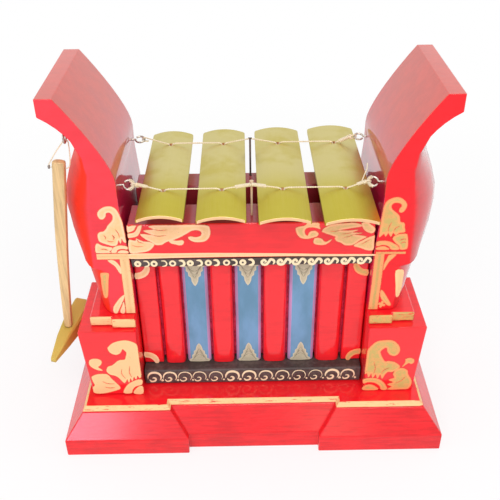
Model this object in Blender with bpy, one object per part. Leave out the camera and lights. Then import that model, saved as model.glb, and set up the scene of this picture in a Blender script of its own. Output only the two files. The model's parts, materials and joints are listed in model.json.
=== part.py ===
"""A four-key Balinese metallophone: brass keys on two cords over a painted wooden case, and its mallet.

Units are metres. X runs to the player's right, Y to the back and Z up. The origin is at the middle of
the base, on the surface that it stands on.
"""

import math

import bmesh
import bpy
from mathutils import Matrix, Vector

MM = 0.001

# Fits and edges
GAP = 0.3 * MM  # between pieces that touch
SIDE_GAP = 0.5 * MM  # between a cross board and the wing beside it
EDGE = 0.7 * MM  # broken edge of the sawn wood
BORE_CLEARANCE = 0.35 * MM  # round a pin, a screw or a cord in its hole

# Base
BASE_SIDE_MARGIN = 13.7 * MM  # beyond the side blocks
BASE_FRONT_MARGIN = 23.9 * MM  # beyond the side blocks' front faces
BASE_EDGE_HEIGHT = 13.5 * MM
BASE_SLOPE_HEIGHT = 15 * MM
BASE_SLOPE_RUN = 11.7 * MM
FOOT_WIDTH = 81.7 * MM
FOOT_PROUD = 5 * MM
DECK_THICKNESS = 3 * MM
DECK_EDGE_RUN = 2.2 * MM

# Side blocks and the steps on them
CASE_MARGIN = 6.05 * MM  # from the row of keys to the lower inner face of a wing
BLOCK_WIDTH = 37.3 * MM
BLOCK_TAPER = 3.7 * MM
BLOCK_HEIGHT = 54.5 * MM
BLOCK_DEPTH = 55 * MM
BLOCK_PROUD = 9.4 * MM  # in front of the wing's front face
BACK_BLOCK_WIDTH = 26 * MM
STEP_HEIGHT = 7 * MM
INNER_STEP_WIDTH = 15.2 * MM
OUTER_STEP_WIDTH = 14.3 * MM
INNER_STEP_SET_BACK = 3.4 * MM
OUTER_STEP_SET_BACK = 6.2 * MM

# Wings, seen from the front; heights are above the wing's foot and drops below its top
WING_DEPTH = 81.4 * MM
WING_HEIGHT = 144.6 * MM
HORN_REACH = 40.6 * MM  # from the foot's inner face to the tip
HORN_TOP_WIDTH = 9.7 * MM
HORN_TIP_HEIGHT = 10.5 * MM
HORN_DROP = 50.1 * MM  # from the top down to the neck
BEND_DROP = 50.6 * MM  # from the top down to where the inner face leaves the upright
UPRIGHT_LENGTH = 14 * MM  # of the inner face between its lean and its bend
INNER_LEAN = 2.7 * MM
LEAN_START = 44 * MM
NECK_WIDTH = 13.4 * MM
SHOULDER_FLARE = 5 * MM
LEDGE_HEIGHT = 33.2 * MM
LEDGE_SLOPE = 1.4 * MM
POST_WIDTH = 14.3 * MM
BELLY_FOOT_WIDTH = 27.5 * MM
BELLY_LOW_WIDTH = 33.2 * MM
BELLY_LOW_HEIGHT = 28 * MM
BELLY_WIDTH = 41.1 * MM
BELLY_HEIGHT = 70 * MM
BELLY_TOP_WIDTH = 31 * MM
BELLY_TOP_DROP = 42.6 * MM  # below the wing's top
BELLY_END_DROP = 24.6 * MM
BELLY_ROUNDNESS = 0.6

# Cross boards of the case; heights are above the deck
RAIL_TOP_HEIGHT = 128.6 * MM
RAIL_HEIGHT = 24.8 * MM
FRONT_RAIL_THICKNESS = 23.8 * MM
SLOT_WIDTH = 22.1 * MM
BACK_RAIL_THICKNESS = 18.3 * MM
BAND_HEIGHT = 5.6 * MM
BAND_THICKNESS = 6.7 * MM
LOWER_BAR_HEIGHT = 12.3 * MM
LOWER_BAR_DEPTH = 22 * MM
BACK_BOARD_THICKNESS = 6 * MM

# Grille between the bands
COLUMN_DEPTH = 8 * MM
COLUMN_WIDTH = 14 * MM
COLUMN_WIDTH_STEP = 0.9 * MM
SLAT_WIDTH = 15.9 * MM
SLAT_WIDTH_STEP = 0.7 * MM
SLAT_RECESS = 1.2 * MM
SLAT_CHAMFER = 1.8 * MM
PANEL_RECESS = 0.6 * MM
GRILLE_GAP = 1.2 * MM
BACKING_THICKNESS = 3 * MM

# Keys
KEYS = 4
KEY_WIDTH = 27 * MM
KEY_WIDTH_STEP = 1.3 * MM
KEY_LENGTH = 111.5 * MM
KEY_LENGTH_STEP = 4 * MM
KEY_THICKNESS = 2 * MM
KEY_ARCH = 2.8 * MM
KEY_SPACING = 6.7 * MM
KEY_CORNER = 1.6 * MM
KEYS_RIGHT = 2.9 * MM  # the row sits this far right of the middle
KEYS_FORWARD = 3.6 * MM
KEY_CROWN_HEIGHT = 17.2 * MM  # above the rails
KEY_HOLE = 3.6 * MM

# Suspension
CORD_SPREAD = 61.6 * MM  # from the front cord to the back cord
CORD_DIAMETER = 1.0 * MM
CORD_RISE = 4.1 * MM  # of the eyes above the keys' crowns
PEG_DIAMETER = 1.4 * MM
PEG_LENGTH = 9 * MM
EYE_DIAMETER = 7.2 * MM
EYE_WIRE = 1.3 * MM
EYE_NECK = 1.8 * MM
EYE_THREAD = 8 * MM
FRONT_EYE_ROLL = math.radians(35)  # how far the rings lean forward
BACK_EYE_ROLL = math.radians(15)
PIN_DIAMETER = 1.3 * MM
PIN_HEAD = 2.4 * MM
PIN_HEAD_THICKNESS = 0.6 * MM
PIN_DEPTH = 9 * MM
PIN_ABOVE_CORD = 1.6 * MM
BACK_PIN_SETBACK = 4.2 * MM  # from the back rail's rear face

# Mallet
HOOK_SET_BACK = 8 * MM  # behind the wing's front face
HOOK_NECK = 3 * MM
HOOK_FROM_TIP = 11.24 * MM  # in from the horn's tip
STRING_DIAMETER = 0.8 * MM
STRING_DROP = 15.6 * MM
STRING_EXIT = 1.2 * MM  # straight out of the handle
STRING_TURN = 1.4 * MM
STRING_BOW = 2.4 * MM  # of the strand that rises from the handle
STRING_SLACK = 1 * MM  # of the strand that comes down to the knot
BELLY_CLEARANCE = 0.9 * MM  # from the belly to the handle's hanging line
BLOCK_CLEARANCE = 0.5 * MM  # from the side block to the head
MALLET_LEAN = math.radians(1.2)  # of the foot of the handle to the back
KNOT_DIAMETER = 2.6 * MM
HANDLE_LENGTH = 117.5 * MM  # from the hole to the head
HANDLE_WIDTH = 7.6 * MM
HANDLE_DEPTH = 5.6 * MM
HANDLE_END_WIDTH = 5.2 * MM
HANDLE_NARROWS = 0.35  # share of the length where the handle starts to narrow
HANDLE_BOW = 1 * MM
HANDLE_ABOVE_HOLE = 3.4 * MM
HANDLE_CAP = 0.6  # width of the rounded top as a share of the handle's
HANDLE_CAP_HEIGHT = 1 * MM
HANDLE_SOCKET = 8 * MM
TENON_DIAMETER = 4.6 * MM
HEAD_TURN = math.radians(-9.8)
HEAD_BEHIND_HANDLE = 28.6 * MM
HEAD_LENGTH = 56 * MM
HEAD_WIDTH = 11.4 * MM
HEAD_HEIGHT = 13 * MM
HEAD_EDGE = 0.9 * MM
HEAD_CORNER = 0.11  # cut off each long edge, as a share of the smaller side
HEAD_SHOULDER = 21 * MM  # from the striking end to where the taper starts
HEAD_WAIST = 38.5 * MM
HEAD_WAIST_WIDTH = 8.2 * MM
HEAD_WAIST_HEIGHT = 9.6 * MM
HEAD_WAIST_DROP = 1.3 * MM
HEAD_TIP = 3.4 * MM
HEAD_TIP_DROP = 5.5 * MM

# Levels
DECK_BOTTOM = BASE_EDGE_HEIGHT + BASE_SLOPE_HEIGHT + GAP
DECK_TOP = DECK_BOTTOM + DECK_THICKNESS
BLOCK_BOTTOM = DECK_TOP + GAP
BLOCK_TOP = BLOCK_BOTTOM + BLOCK_HEIGHT
STEP_BOTTOM = BLOCK_TOP + GAP
STEP_TOP = STEP_BOTTOM + STEP_HEIGHT
WING_FOOT = STEP_TOP + GAP
RAIL_TOP = DECK_TOP + RAIL_TOP_HEIGHT
RAIL_BOTTOM = RAIL_TOP - RAIL_HEIGHT
KEY_CROWN = RAIL_TOP + KEY_CROWN_HEIGHT
EYE_LEVEL = KEY_CROWN + CORD_RISE

# Widths and depths that follow from the keys, the wings and the margins round them
KEY_ROW = KEYS * KEY_WIDTH + KEYS * (KEYS - 1) / 2 * KEY_WIDTH_STEP + (KEYS - 1) * KEY_SPACING
CASE_WIDTH = KEY_ROW + 2 * CASE_MARGIN
BASE_WIDTH = CASE_WIDTH + 2 * (BLOCK_WIDTH + BASE_SIDE_MARGIN)
BASE_DEPTH = WING_DEPTH + 2 * (BLOCK_PROUD + BASE_FRONT_MARGIN)

# Heights on the wings
NECK_HEIGHT = WING_HEIGHT - HORN_DROP
BEND_START = WING_HEIGHT - BEND_DROP
LEAN_END = BEND_START - UPRIGHT_LENGTH
BELLY_TOP_HEIGHT = WING_HEIGHT - BELLY_TOP_DROP
BELLY_END_HEIGHT = WING_HEIGHT - BELLY_END_DROP

# Planes
CASE_SIDE = CASE_WIDTH / 2
BOARD_END = CASE_SIDE - SIDE_GAP
WING_FRONT = -WING_DEPTH / 2
WING_BACK = WING_DEPTH / 2
BLOCK_FRONT = WING_FRONT - BLOCK_PROUD
BLOCK_BACK = BLOCK_FRONT + BLOCK_DEPTH
FRONT_RAIL_BACK = WING_FRONT + FRONT_RAIL_THICKNESS
BACK_RAIL_FRONT = FRONT_RAIL_BACK + SLOT_WIDTH
BACK_RAIL_BACK = BACK_RAIL_FRONT + BACK_RAIL_THICKNESS
GRILLE_FRONT = WING_FRONT + BAND_THICKNESS + GAP
BACKING_FRONT = GRILLE_FRONT + COLUMN_DEPTH + GAP
GRILLE_BOTTOM = DECK_TOP + GAP + LOWER_BAR_HEIGHT + GAP


def clear_scene():
    for old in list(bpy.data.objects):
        bpy.data.objects.remove(old, do_unlink=True)


def finish(name, colour, roughness, metallic=0.0):
    """A plain material for one kind of surface."""
    material = bpy.data.materials.new(name)
    material.use_nodes = True
    shader = material.node_tree.nodes["Principled BSDF"]
    shader.inputs["Base Color"].default_value = (*colour, 1.0)
    shader.inputs["Roughness"].default_value = roughness
    shader.inputs["Metallic"].default_value = metallic
    material.diffuse_color = (*colour, 1.0)
    return material


clear_scene()
RED = finish("red_paint", (0.78, 0.02, 0.03), 0.25)
DARK_RED = finish("dark_red_paint", (0.16, 0.01, 0.015), 0.5)
GOLD = finish("gold_paint", (0.80, 0.55, 0.30), 0.5)
BLACK = finish("black_paint", (0.06, 0.045, 0.04), 0.4)
BLUE = finish("blue_paint", (0.12, 0.29, 0.48), 0.5)
BRASS = finish("brass", (0.52, 0.44, 0.12), 0.3, 1.0)
STEEL = finish("steel", (0.45, 0.43, 0.40), 0.35, 1.0)
CORD = finish("cord", (0.90, 0.80, 0.50), 0.8)
PALE_WOOD = finish("pale_wood", (0.72, 0.47, 0.20), 0.5)
HEAD_WOOD = finish("head_wood", (0.58, 0.42, 0.08), 0.5)


def add_object(name, data, material, place=None):
    made = bpy.data.objects.new(name, data)
    data.materials.append(material)
    bpy.context.scene.collection.objects.link(made)
    if place is not None:
        made.matrix_world = place
    return made


def from_bmesh(name, shape, material, place=None, smooth=None):
    """Turns a bmesh into an object; smooth is the sharpest angle that stays shaded smooth."""
    bmesh.ops.recalc_face_normals(shape, faces=shape.faces)
    mesh = bpy.data.meshes.new(name)
    shape.to_mesh(mesh)
    shape.free()
    if smooth is not None:
        mesh.shade_smooth()
        mesh.set_sharp_from_angle(angle=smooth)
    return add_object(name, mesh, material, place)


def prism(outline, bottom, top):
    """A solid with this outline in plan between two levels."""
    shape = bmesh.new()
    ring = [shape.verts.new((x, y, bottom)) for x, y in outline]
    face = shape.faces.new(ring)
    raised = bmesh.ops.extrude_face_region(shape, geom=[face])
    lifted = [v for v in raised["geom"] if isinstance(v, bmesh.types.BMVert)]
    bmesh.ops.translate(shape, verts=lifted, vec=(0, 0, top - bottom))
    return shape


def loft(sections):
    """A solid through rings that have the same number of points, closed at both ends."""
    shape = bmesh.new()
    rings = [[shape.verts.new(point) for point in section] for section in sections]
    for low, high in zip(rings, rings[1:]):
        for i, here in enumerate(low):
            after = (i + 1) % len(low)
            shape.faces.new((here, low[after], high[after], high[i]))
    shape.faces.new(list(reversed(rings[0])))
    shape.faces.new(rings[-1])
    return shape


def box_outline(left, right, front, back):
    return [(left, front), (right, front), (right, back), (left, back)]


def round_edges(made, width, segments=1, angle=30):
    bevel = made.modifiers.new("edges", "BEVEL")
    bevel.width = width
    bevel.segments = segments
    bevel.limit_method = "ANGLE"
    bevel.angle_limit = math.radians(angle)
    return made


def board(name, left, right, front, back, bottom, top, material, edge=EDGE):
    made = from_bmesh(name, prism(box_outline(left, right, front, back), bottom, top), material)
    return round_edges(made, edge)


def rod_between(start, end, radius, sides=12):
    """A straight round bar as a bmesh."""
    start = Vector(start)
    end = Vector(end)
    along = end - start
    shape = bmesh.new()
    turn = along.to_track_quat("Z", "Y").to_matrix().to_4x4()
    bmesh.ops.create_cone(
        shape,
        cap_ends=True,
        segments=sides,
        radius1=radius,
        radius2=radius,
        depth=along.length,
        matrix=Matrix.Translation((start + end) / 2) @ turn,
    )
    return shape


def cut_bore(made, name, start, end, radius, sides=12):
    """Cuts a round hole; the cutter stays in the file as a hidden guide."""
    cutter = from_bmesh(name, rod_between(start, end, radius, sides), GOLD)
    cutter.hide_render = True
    cutter.display_type = "WIRE"
    cut = made.modifiers.new(name, "BOOLEAN")
    cut.operation = "DIFFERENCE"
    cut.solver = "EXACT"
    cut.object = cutter


def turned(name, profile, material, place, sides=16):
    """A round solid from (radius, height) points that start and end on its axis."""
    shape = bmesh.new()
    points = [shape.verts.new((radius, 0, height)) for radius, height in profile]
    edges = [shape.edges.new(pair) for pair in zip(points, points[1:])]
    bmesh.ops.spin(
        shape,
        geom=points + edges,
        cent=(0, 0, 0),
        axis=(0, 0, 1),
        angle=math.tau,
        steps=sides,
        use_merge=True,
    )
    bmesh.ops.remove_doubles(shape, verts=shape.verts, dist=1e-6)
    return from_bmesh(name, shape, material, place, smooth=math.radians(40))


def wire(name, points, diameter, material, place=None):
    """A round wire or cord along these points, with flat ends."""
    curve = bpy.data.curves.new(name, "CURVE")
    curve.dimensions = "3D"
    curve.bevel_depth = diameter / 2
    curve.bevel_resolution = 2
    curve.use_fill_caps = True
    spline = curve.splines.new("POLY")
    spline.points.add(len(points) - 1)
    for slot, point in zip(spline.points, points):
        slot.co = (*point, 1.0)
    return add_object(name, curve, material, place)


def bezier(start, start_handle, end_handle, end, steps):
    """Points on a cubic curve, both ends included."""
    found = []
    for i in range(steps + 1):
        t = i / steps
        u = 1 - t
        found.append(
            tuple(
                u**3 * a + 3 * u * u * t * b + 3 * u * t * t * c + t**3 * d
                for a, b, c, d in zip(start, start_handle, end_handle, end)
            )
        )
    return found


def smooth_through(points, steps):
    """Points on a smooth curve through all of these, with this many steps between neighbours."""
    points = [Vector(p) for p in points]
    held = [2 * points[0] - points[1], *points, 2 * points[-1] - points[-2]]
    found = []
    for before, here, after, beyond in zip(held, held[1:], held[2:], held[3:]):
        for i in range(steps):
            t = i / steps
            found.append(
                0.5
                * (
                    2 * here
                    + (after - before) * t
                    + (2 * before - 5 * here + 4 * after - beyond) * t**2
                    + (3 * here - before - 3 * after + beyond) * t**3
                )
            )
    found.append(points[-1])
    return found


# Base: a plinth with a sloped rim, set back between its corner feet, and a deck with a chamfered edge


def plinth_outline(inset):
    """The plan of the base, moved in by inset, which slopes the sides of the feet too."""
    side = BASE_WIDTH / 2 - inset
    end = BASE_DEPTH / 2 - inset
    step_side = BASE_WIDTH / 2 - FOOT_WIDTH + inset
    step_end = end - FOOT_PROUD
    quarter = [(side, end), (step_side, end), (step_side, step_end)]
    mirrored = [(-x, y) for x, y in reversed(quarter)]
    back = quarter + mirrored
    front = [(x, -y) for x, y in reversed(back)]
    return front + back


def at_level(outline, level):
    return [(x, y, level) for x, y in outline]


def make_base():
    foot = plinth_outline(0)
    rim = plinth_outline(BASE_SLOPE_RUN)
    edge_top = BASE_EDGE_HEIGHT
    slope_top = BASE_EDGE_HEIGHT + BASE_SLOPE_HEIGHT
    plinth = loft([at_level(foot, 0), at_level(foot, edge_top), at_level(rim, slope_top)])
    from_bmesh("base_plinth", plinth, RED)
    inner = plinth_outline(BASE_SLOPE_RUN + DECK_EDGE_RUN)
    deck = loft([at_level(rim, DECK_BOTTOM), at_level(inner, DECK_TOP)])
    from_bmesh("base_deck", deck, GOLD)


# Side blocks, the stepped pads on them and the blocks behind


def make_side(side, prefix):
    inner = side * CASE_SIDE
    outer = side * (CASE_SIDE + BLOCK_WIDTH)
    outer_low = side * (CASE_SIDE + BLOCK_WIDTH - BLOCK_TAPER)
    low = box_outline(inner, outer_low, BLOCK_FRONT, BLOCK_BACK)
    high = box_outline(inner, outer, BLOCK_FRONT, BLOCK_BACK)
    block = loft([at_level(low, BLOCK_BOTTOM), at_level(high, BLOCK_TOP)])
    round_edges(from_bmesh(prefix + "_front_block", block, RED), EDGE)

    seam = side * (CASE_SIDE + INNER_STEP_WIDTH)
    rim = side * (CASE_SIDE + INNER_STEP_WIDTH + OUTER_STEP_WIDTH)
    inner_front = BLOCK_FRONT + INNER_STEP_SET_BACK
    outer_front = BLOCK_FRONT + OUTER_STEP_SET_BACK
    plan = [
        (inner, inner_front),
        (seam, inner_front),
        (seam, outer_front),
        (rim, outer_front),
        (rim, BLOCK_BACK),
        (inner, BLOCK_BACK),
    ]
    step = from_bmesh(prefix + "_step", prism(plan, STEP_BOTTOM, STEP_TOP), GOLD)
    round_edges(step, EDGE)

    left, right = sorted((inner, side * (CASE_SIDE + BACK_BLOCK_WIDTH)))
    board(
        prefix + "_back_block",
        left,
        right,
        BLOCK_BACK + GAP,
        WING_BACK,
        BLOCK_BOTTOM,
        STEP_TOP,
        RED,
    )


# Wings: end boards whose tops curl out into horns and whose outsides swell into rounded bellies


def horn_inside():
    """The inner face from the upright to the top, as distances from the foot's inner face."""
    top = HORN_REACH - HORN_TOP_WIDTH
    rise = WING_HEIGHT - BEND_START
    return bezier(
        (INNER_LEAN, BEND_START),
        (INNER_LEAN, BEND_START + 0.2 * rise),
        (0.53 * top + 0.47 * INNER_LEAN, BEND_START + 0.67 * rise),
        (top, WING_HEIGHT),
        9,
    )


def horn_underside():
    """The curve from the horn's tip in to the neck."""
    neck = INNER_LEAN + NECK_WIDTH
    tip = WING_HEIGHT - HORN_TIP_HEIGHT
    run = HORN_REACH - neck
    fall = tip - NECK_HEIGHT
    return bezier(
        (HORN_REACH, tip),
        (HORN_REACH - 0.62 * run, tip - 0.21 * fall),
        (neck, NECK_HEIGHT + 0.4 * fall),
        (neck, NECK_HEIGHT),
        9,
    )


def value_at(curve, height):
    """The distance out at this height on a curve of (distance, height) points, or at its nearer end."""
    for (x0, z0), (x1, z1) in zip(curve, curve[1:]):
        if min(z0, z1) <= height <= max(z0, z1) and z0 != z1:
            return x0 + (x1 - x0) * (height - z0) / (z1 - z0)
    nearer = min((curve[0], curve[-1]), key=lambda point: abs(point[1] - height))
    return nearer[0]


def height_at(curve, distance):
    """The height at this distance out on a curve of (distance, height) points, or at its nearer end."""
    return value_at([(z, x) for x, z in curve], distance)


def inner_face():
    """The wing's inner face from its foot to the top, as distances from the foot's inner face."""
    return [(0, 0), (0, LEAN_START), (INNER_LEAN, LEAN_END), *horn_inside()]


def inner_side_at(level):
    """How far from the middle the wings' inner faces are at this level."""
    return CASE_SIDE + value_at(inner_face(), level - WING_FOOT)


def edge_outline():
    """The outside of the front and back faces, from the neck down to the foot."""
    neck = INNER_LEAN + NECK_WIDTH
    shoulder = neck + SHOULDER_FLARE
    return [
        (neck, NECK_HEIGHT),
        (shoulder, LEDGE_HEIGHT + LEDGE_SLOPE),
        (POST_WIDTH, LEDGE_HEIGHT),
        (POST_WIDTH, 0),
    ]


def belly_outline():
    """The outside at the middle of the wing's depth, from the horn down to the foot."""
    start = value_at(horn_underside(), BELLY_END_HEIGHT)
    points = smooth_through(
        [
            (start, BELLY_END_HEIGHT),
            (BELLY_TOP_WIDTH, BELLY_TOP_HEIGHT),
            (BELLY_WIDTH, BELLY_HEIGHT),
            (BELLY_LOW_WIDTH, BELLY_LOW_HEIGHT),
            (BELLY_FOOT_WIDTH, 0),
        ],
        6,
    )
    return [(p.x, p.y) for p in points]


def belly_swell(depth_share):
    """How much of the belly's roundness is left at this share of half the wing's depth."""
    return (1 - depth_share**2) ** BELLY_ROUNDNESS


def outer_points(depth_share):
    """The wing's outside at this share of half its depth, from the horn's tip to the foot."""
    under = horn_underside()
    edge = under + edge_outline()[1:]
    belly = belly_outline()
    swell = belly_swell(depth_share)
    above = [point for point in under if point[1] >= BELLY_END_HEIGHT]
    steps = 8
    upper_fall = BELLY_END_HEIGHT - LEDGE_HEIGHT - LEDGE_SLOPE
    upper = [BELLY_END_HEIGHT - upper_fall * i / steps for i in range(steps + 1)]
    lower = [LEDGE_HEIGHT * (1 - i / 3) for i in range(4)]
    found = list(above)
    for height in upper + lower:
        near = value_at(edge, height)
        if height <= LEDGE_HEIGHT:
            near = POST_WIDTH
        found.append((near + (value_at(belly, height) - near) * swell, height))
    return found


def wing_section(side, depth_share):
    """One closed ring of the wing, at this share of half its depth."""
    ring = inner_face() + [(HORN_REACH, WING_HEIGHT)] + outer_points(depth_share)
    y = depth_share * WING_DEPTH / 2
    return [(side * (CASE_SIDE + x), y, WING_FOOT + z) for x, z in ring]


def make_wing(side, prefix):
    shares = [0, 0.35, 0.6, 0.78, 0.9, 0.97, 1]
    stations = [-s for s in reversed(shares[1:])] + shares
    shape = loft([wing_section(side, share) for share in stations])
    wing = from_bmesh(prefix + "_wing", shape, RED, smooth=math.radians(28))
    face = inner_side_at(EYE_LEVEL)
    for name, y in (("front", -CORD_SPREAD / 2), ("back", CORD_SPREAD / 2)):
        deep = side * (face + EYE_THREAD + GAP)
        shallow = side * (face - EYE_NECK)
        cut_bore(
            wing,
            prefix + "_" + name + "_eye_bore",
            (shallow, y, EYE_LEVEL),
            (deep, y, EYE_LEVEL),
            EYE_WIRE / 2 + BORE_CLEARANCE,
        )
    return wing


# Case: rails, painted bands, grille and the boards behind


def make_case():
    front_rail = board(
        "front_rail", -BOARD_END, BOARD_END, WING_FRONT, FRONT_RAIL_BACK, RAIL_BOTTOM, RAIL_TOP, RED
    )
    back_rail = board(
        "back_rail", -BOARD_END, BOARD_END, BACK_RAIL_FRONT, BACK_RAIL_BACK, RAIL_BOTTOM, RAIL_TOP, RED
    )
    band_top = RAIL_BOTTOM - GAP
    board(
        "upper_band",
        -BOARD_END,
        BOARD_END,
        WING_FRONT,
        WING_FRONT + BAND_THICKNESS,
        band_top - BAND_HEIGHT,
        band_top,
        BLACK,
    )
    bar_bottom = DECK_TOP + GAP
    board(
        "lower_bar",
        -BOARD_END,
        BOARD_END,
        WING_FRONT,
        WING_FRONT + LOWER_BAR_DEPTH,
        bar_bottom,
        bar_bottom + LOWER_BAR_HEIGHT,
        BLACK,
    )
    grille_top = RAIL_BOTTOM - GAP
    board(
        "grille_backing",
        -BOARD_END,
        BOARD_END,
        BACKING_FRONT,
        BACKING_FRONT + BACKING_THICKNESS,
        GRILLE_BOTTOM,
        grille_top,
        DARK_RED,
        edge=GAP,
    )
    board(
        "back_board",
        -BOARD_END,
        BOARD_END,
        BACK_RAIL_BACK - BACK_BOARD_THICKNESS,
        BACK_RAIL_BACK,
        bar_bottom,
        grille_top,
        RED,
    )
    return front_rail, back_rail


def column(name, left, right, bottom, top):
    """A half-round moulding with its flat against the backing."""
    middle = (left + right) / 2
    back = BACKING_FRONT - GAP
    steps = 12
    outline = []
    for i in range(steps + 1):
        turn = math.pi * i / steps
        outline.append(
            (middle - math.cos(turn) * (right - left) / 2, back - math.sin(turn) * COLUMN_DEPTH)
        )
    from_bmesh(name, prism(outline, bottom, top), RED, smooth=math.radians(40))


def slat(name, left, right, bottom, top):
    """A flat strip with chamfered long edges."""
    front = GRILLE_FRONT + SLAT_RECESS
    back = BACKING_FRONT - GAP
    outline = [
        (left, back),
        (left, front + SLAT_CHAMFER),
        (left + SLAT_CHAMFER, front),
        (right - SLAT_CHAMFER, front),
        (right, front + SLAT_CHAMFER),
        (right, back),
    ]
    from_bmesh(name, prism(outline, bottom, top), BLUE)


def make_grille():
    bottom = GRILLE_BOTTOM
    top = RAIL_BOTTOM - GAP
    columns = [COLUMN_WIDTH + i * COLUMN_WIDTH_STEP for i in range(KEYS)]
    slats = [SLAT_WIDTH + i * SLAT_WIDTH_STEP for i in range(KEYS - 1)]
    strips = sum(columns) + sum(slats) + 2 * KEYS * GRILLE_GAP
    panel = BOARD_END - strips / 2
    front = GRILLE_FRONT + PANEL_RECESS
    back = BACKING_FRONT - GAP
    board("left_panel", -BOARD_END, -BOARD_END + panel, front, back, bottom, top, RED)
    board("right_panel", BOARD_END - panel, BOARD_END, front, back, bottom, top, RED)
    left = -BOARD_END + panel + GRILLE_GAP
    for i, width in enumerate(columns):
        column("column_%d" % (i + 1), left, left + width, bottom, top)
        left += width + GRILLE_GAP
        if i < len(slats):
            slat("slat_%d" % (i + 1), left, left + slats[i], bottom, top)
            left += slats[i] + GRILLE_GAP


# Keys: arched brass plates, each hung on two cord loops that a peg holds under it


def key_widths():
    return [KEY_WIDTH + i * KEY_WIDTH_STEP for i in range(KEYS)]


def key_centres():
    left = KEYS_RIGHT - KEY_ROW / 2
    found = []
    for width in key_widths():
        found.append(left + width / 2)
        left += width + KEY_SPACING
    return found


def arch(x, width):
    """How far the plate has dropped at this distance from its middle line."""
    return KEY_ARCH * (2 * x / width) ** 2


def make_key(index, centre, width, length):
    name = "key_%d" % (index + 1)
    steps = 12
    half = length / 2
    inner = width / 2 - KEY_CORNER
    turns = (math.pi / 6, math.pi / 3, math.pi / 2)
    across = [-inner + 2 * inner * i / steps for i in range(steps + 1)]
    beyond = [inner + KEY_CORNER * math.sin(a) for a in turns]
    reach = [half - KEY_CORNER * (1 - math.cos(a)) for a in turns]
    columns = [(-x, y) for x, y in zip(reversed(beyond), reversed(reach))]
    columns += [(x, half) for x in across]
    columns += list(zip(beyond, reach))
    sections = []
    for x, y in columns:
        z = -arch(x, width)
        sections.append([(x, -y, z), (x, y, z), (x, y, z - KEY_THICKNESS), (x, -y, z - KEY_THICKNESS)])
    place = Matrix.Translation((centre, -KEYS_FORWARD, KEY_CROWN))
    plate = from_bmesh(name, loft(sections), BRASS, place, smooth=math.radians(30))
    for row, y in (("front", -CORD_SPREAD / 2), ("back", CORD_SPREAD / 2)):
        cut_bore(
            plate,
            name + "_" + row + "_bore",
            (centre, y, KEY_CROWN - 3 * KEY_THICKNESS),
            (centre, y, KEY_CROWN + 2 * KEY_THICKNESS),
            KEY_HOLE / 2,
            sides=16,
        )


def peg_level():
    return KEY_CROWN - KEY_THICKNESS - PEG_DIAMETER / 2 - 2 * GAP


def make_pegs(index, centre):
    """The two short pegs under one key, which stop the cord's loops from slipping out."""
    for row, y in (("front", -CORD_SPREAD / 2), ("back", CORD_SPREAD / 2)):
        peg = rod_between((0, -PEG_LENGTH / 2, 0), (0, PEG_LENGTH / 2, 0), PEG_DIAMETER / 2, sides=10)
        place = Matrix.Translation((centre, y, peg_level()))
        name = "key_%d_%s_peg" % (index + 1, row)
        from_bmesh(name, peg, PALE_WOOD, place, smooth=math.radians(40))


# Suspension: screw eyes in the wings, a pin in the middle of each rail and the two cords


def make_screw_eye(name, base, outward, roll, neck, thread):
    """A screw eye of bent wire, driven in at base and pointing outward, with its ring turned by roll."""
    outward = Vector(outward).normalized()
    radius = (EYE_DIAMETER - EYE_WIRE) / 2
    opening = math.radians(40)
    turn = outward.to_track_quat("X", "Z").to_matrix().to_4x4()
    local = [(-thread, 0), (0, 0), (neck * 0.6, 0)]
    centre = neck + radius + EYE_WIRE / 2
    steps = 15
    for i in range(steps + 1):
        angle = math.pi + (math.tau - opening) * i / steps
        local.append((centre + radius * math.cos(angle), radius * math.sin(angle)))
    points = [(x, y, 0) for x, y in local]
    place = Matrix.Translation(base) @ turn @ Matrix.Rotation(roll, 4, "X")
    wire(name, points, EYE_WIRE, STEEL, place)


def eye_centre_x():
    return inner_side_at(EYE_LEVEL) - EYE_NECK - EYE_DIAMETER / 2


def suspension_rows():
    """Each row's name, its place in depth and the lean of its screw eyes."""
    return (
        ("front", -CORD_SPREAD / 2, FRONT_EYE_ROLL),
        ("back", CORD_SPREAD / 2, BACK_EYE_ROLL),
    )


def make_eyes():
    face = inner_side_at(EYE_LEVEL)
    for side, prefix in ((-1, "left"), (1, "right")):
        for row, y, roll in suspension_rows():
            make_screw_eye(
                prefix + "_" + row + "_eye",
                (side * face, y, EYE_LEVEL),
                (-side, 0, 0),
                -side * roll,
                EYE_NECK,
                EYE_THREAD,
            )


def pin_x():
    """The middle of the gap between the two middle keys."""
    centres = key_centres()
    widths = key_widths()
    middle = KEYS // 2
    return (centres[middle - 1] + widths[middle - 1] / 2 + centres[middle] - widths[middle] / 2) / 2


def back_pin_foot():
    return BACK_RAIL_BACK - BACK_PIN_SETBACK


def make_pin(name, rail, foot_y, top_y, material):
    """A headed pin in a rail, leaning from foot_y to top_y, that holds up the middle of a cord."""
    x = pin_x()
    foot = Vector((x, foot_y, RAIL_TOP))
    head = Vector((x, top_y, EYE_LEVEL + PIN_ABOVE_CORD))
    along = (head - foot).normalized()
    tip = foot - along * PIN_DEPTH
    length = (head - tip).length
    shank = PIN_DIAMETER / 2
    profile = [
        (0, 0),
        (shank, 2 * shank),
        (shank, length - PIN_HEAD_THICKNESS),
        (PIN_HEAD / 2, length - PIN_HEAD_THICKNESS),
        (PIN_HEAD / 2, length),
        (0, length),
    ]
    turn = along.to_track_quat("Z", "Y").to_matrix().to_4x4()
    turned(name, profile, material, Matrix.Translation(tip) @ turn, sides=12)
    cut_bore(rail, name + "_bore", tip - along * GAP, foot + along * PIN_DEPTH, shank + BORE_CLEARANCE)


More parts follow.
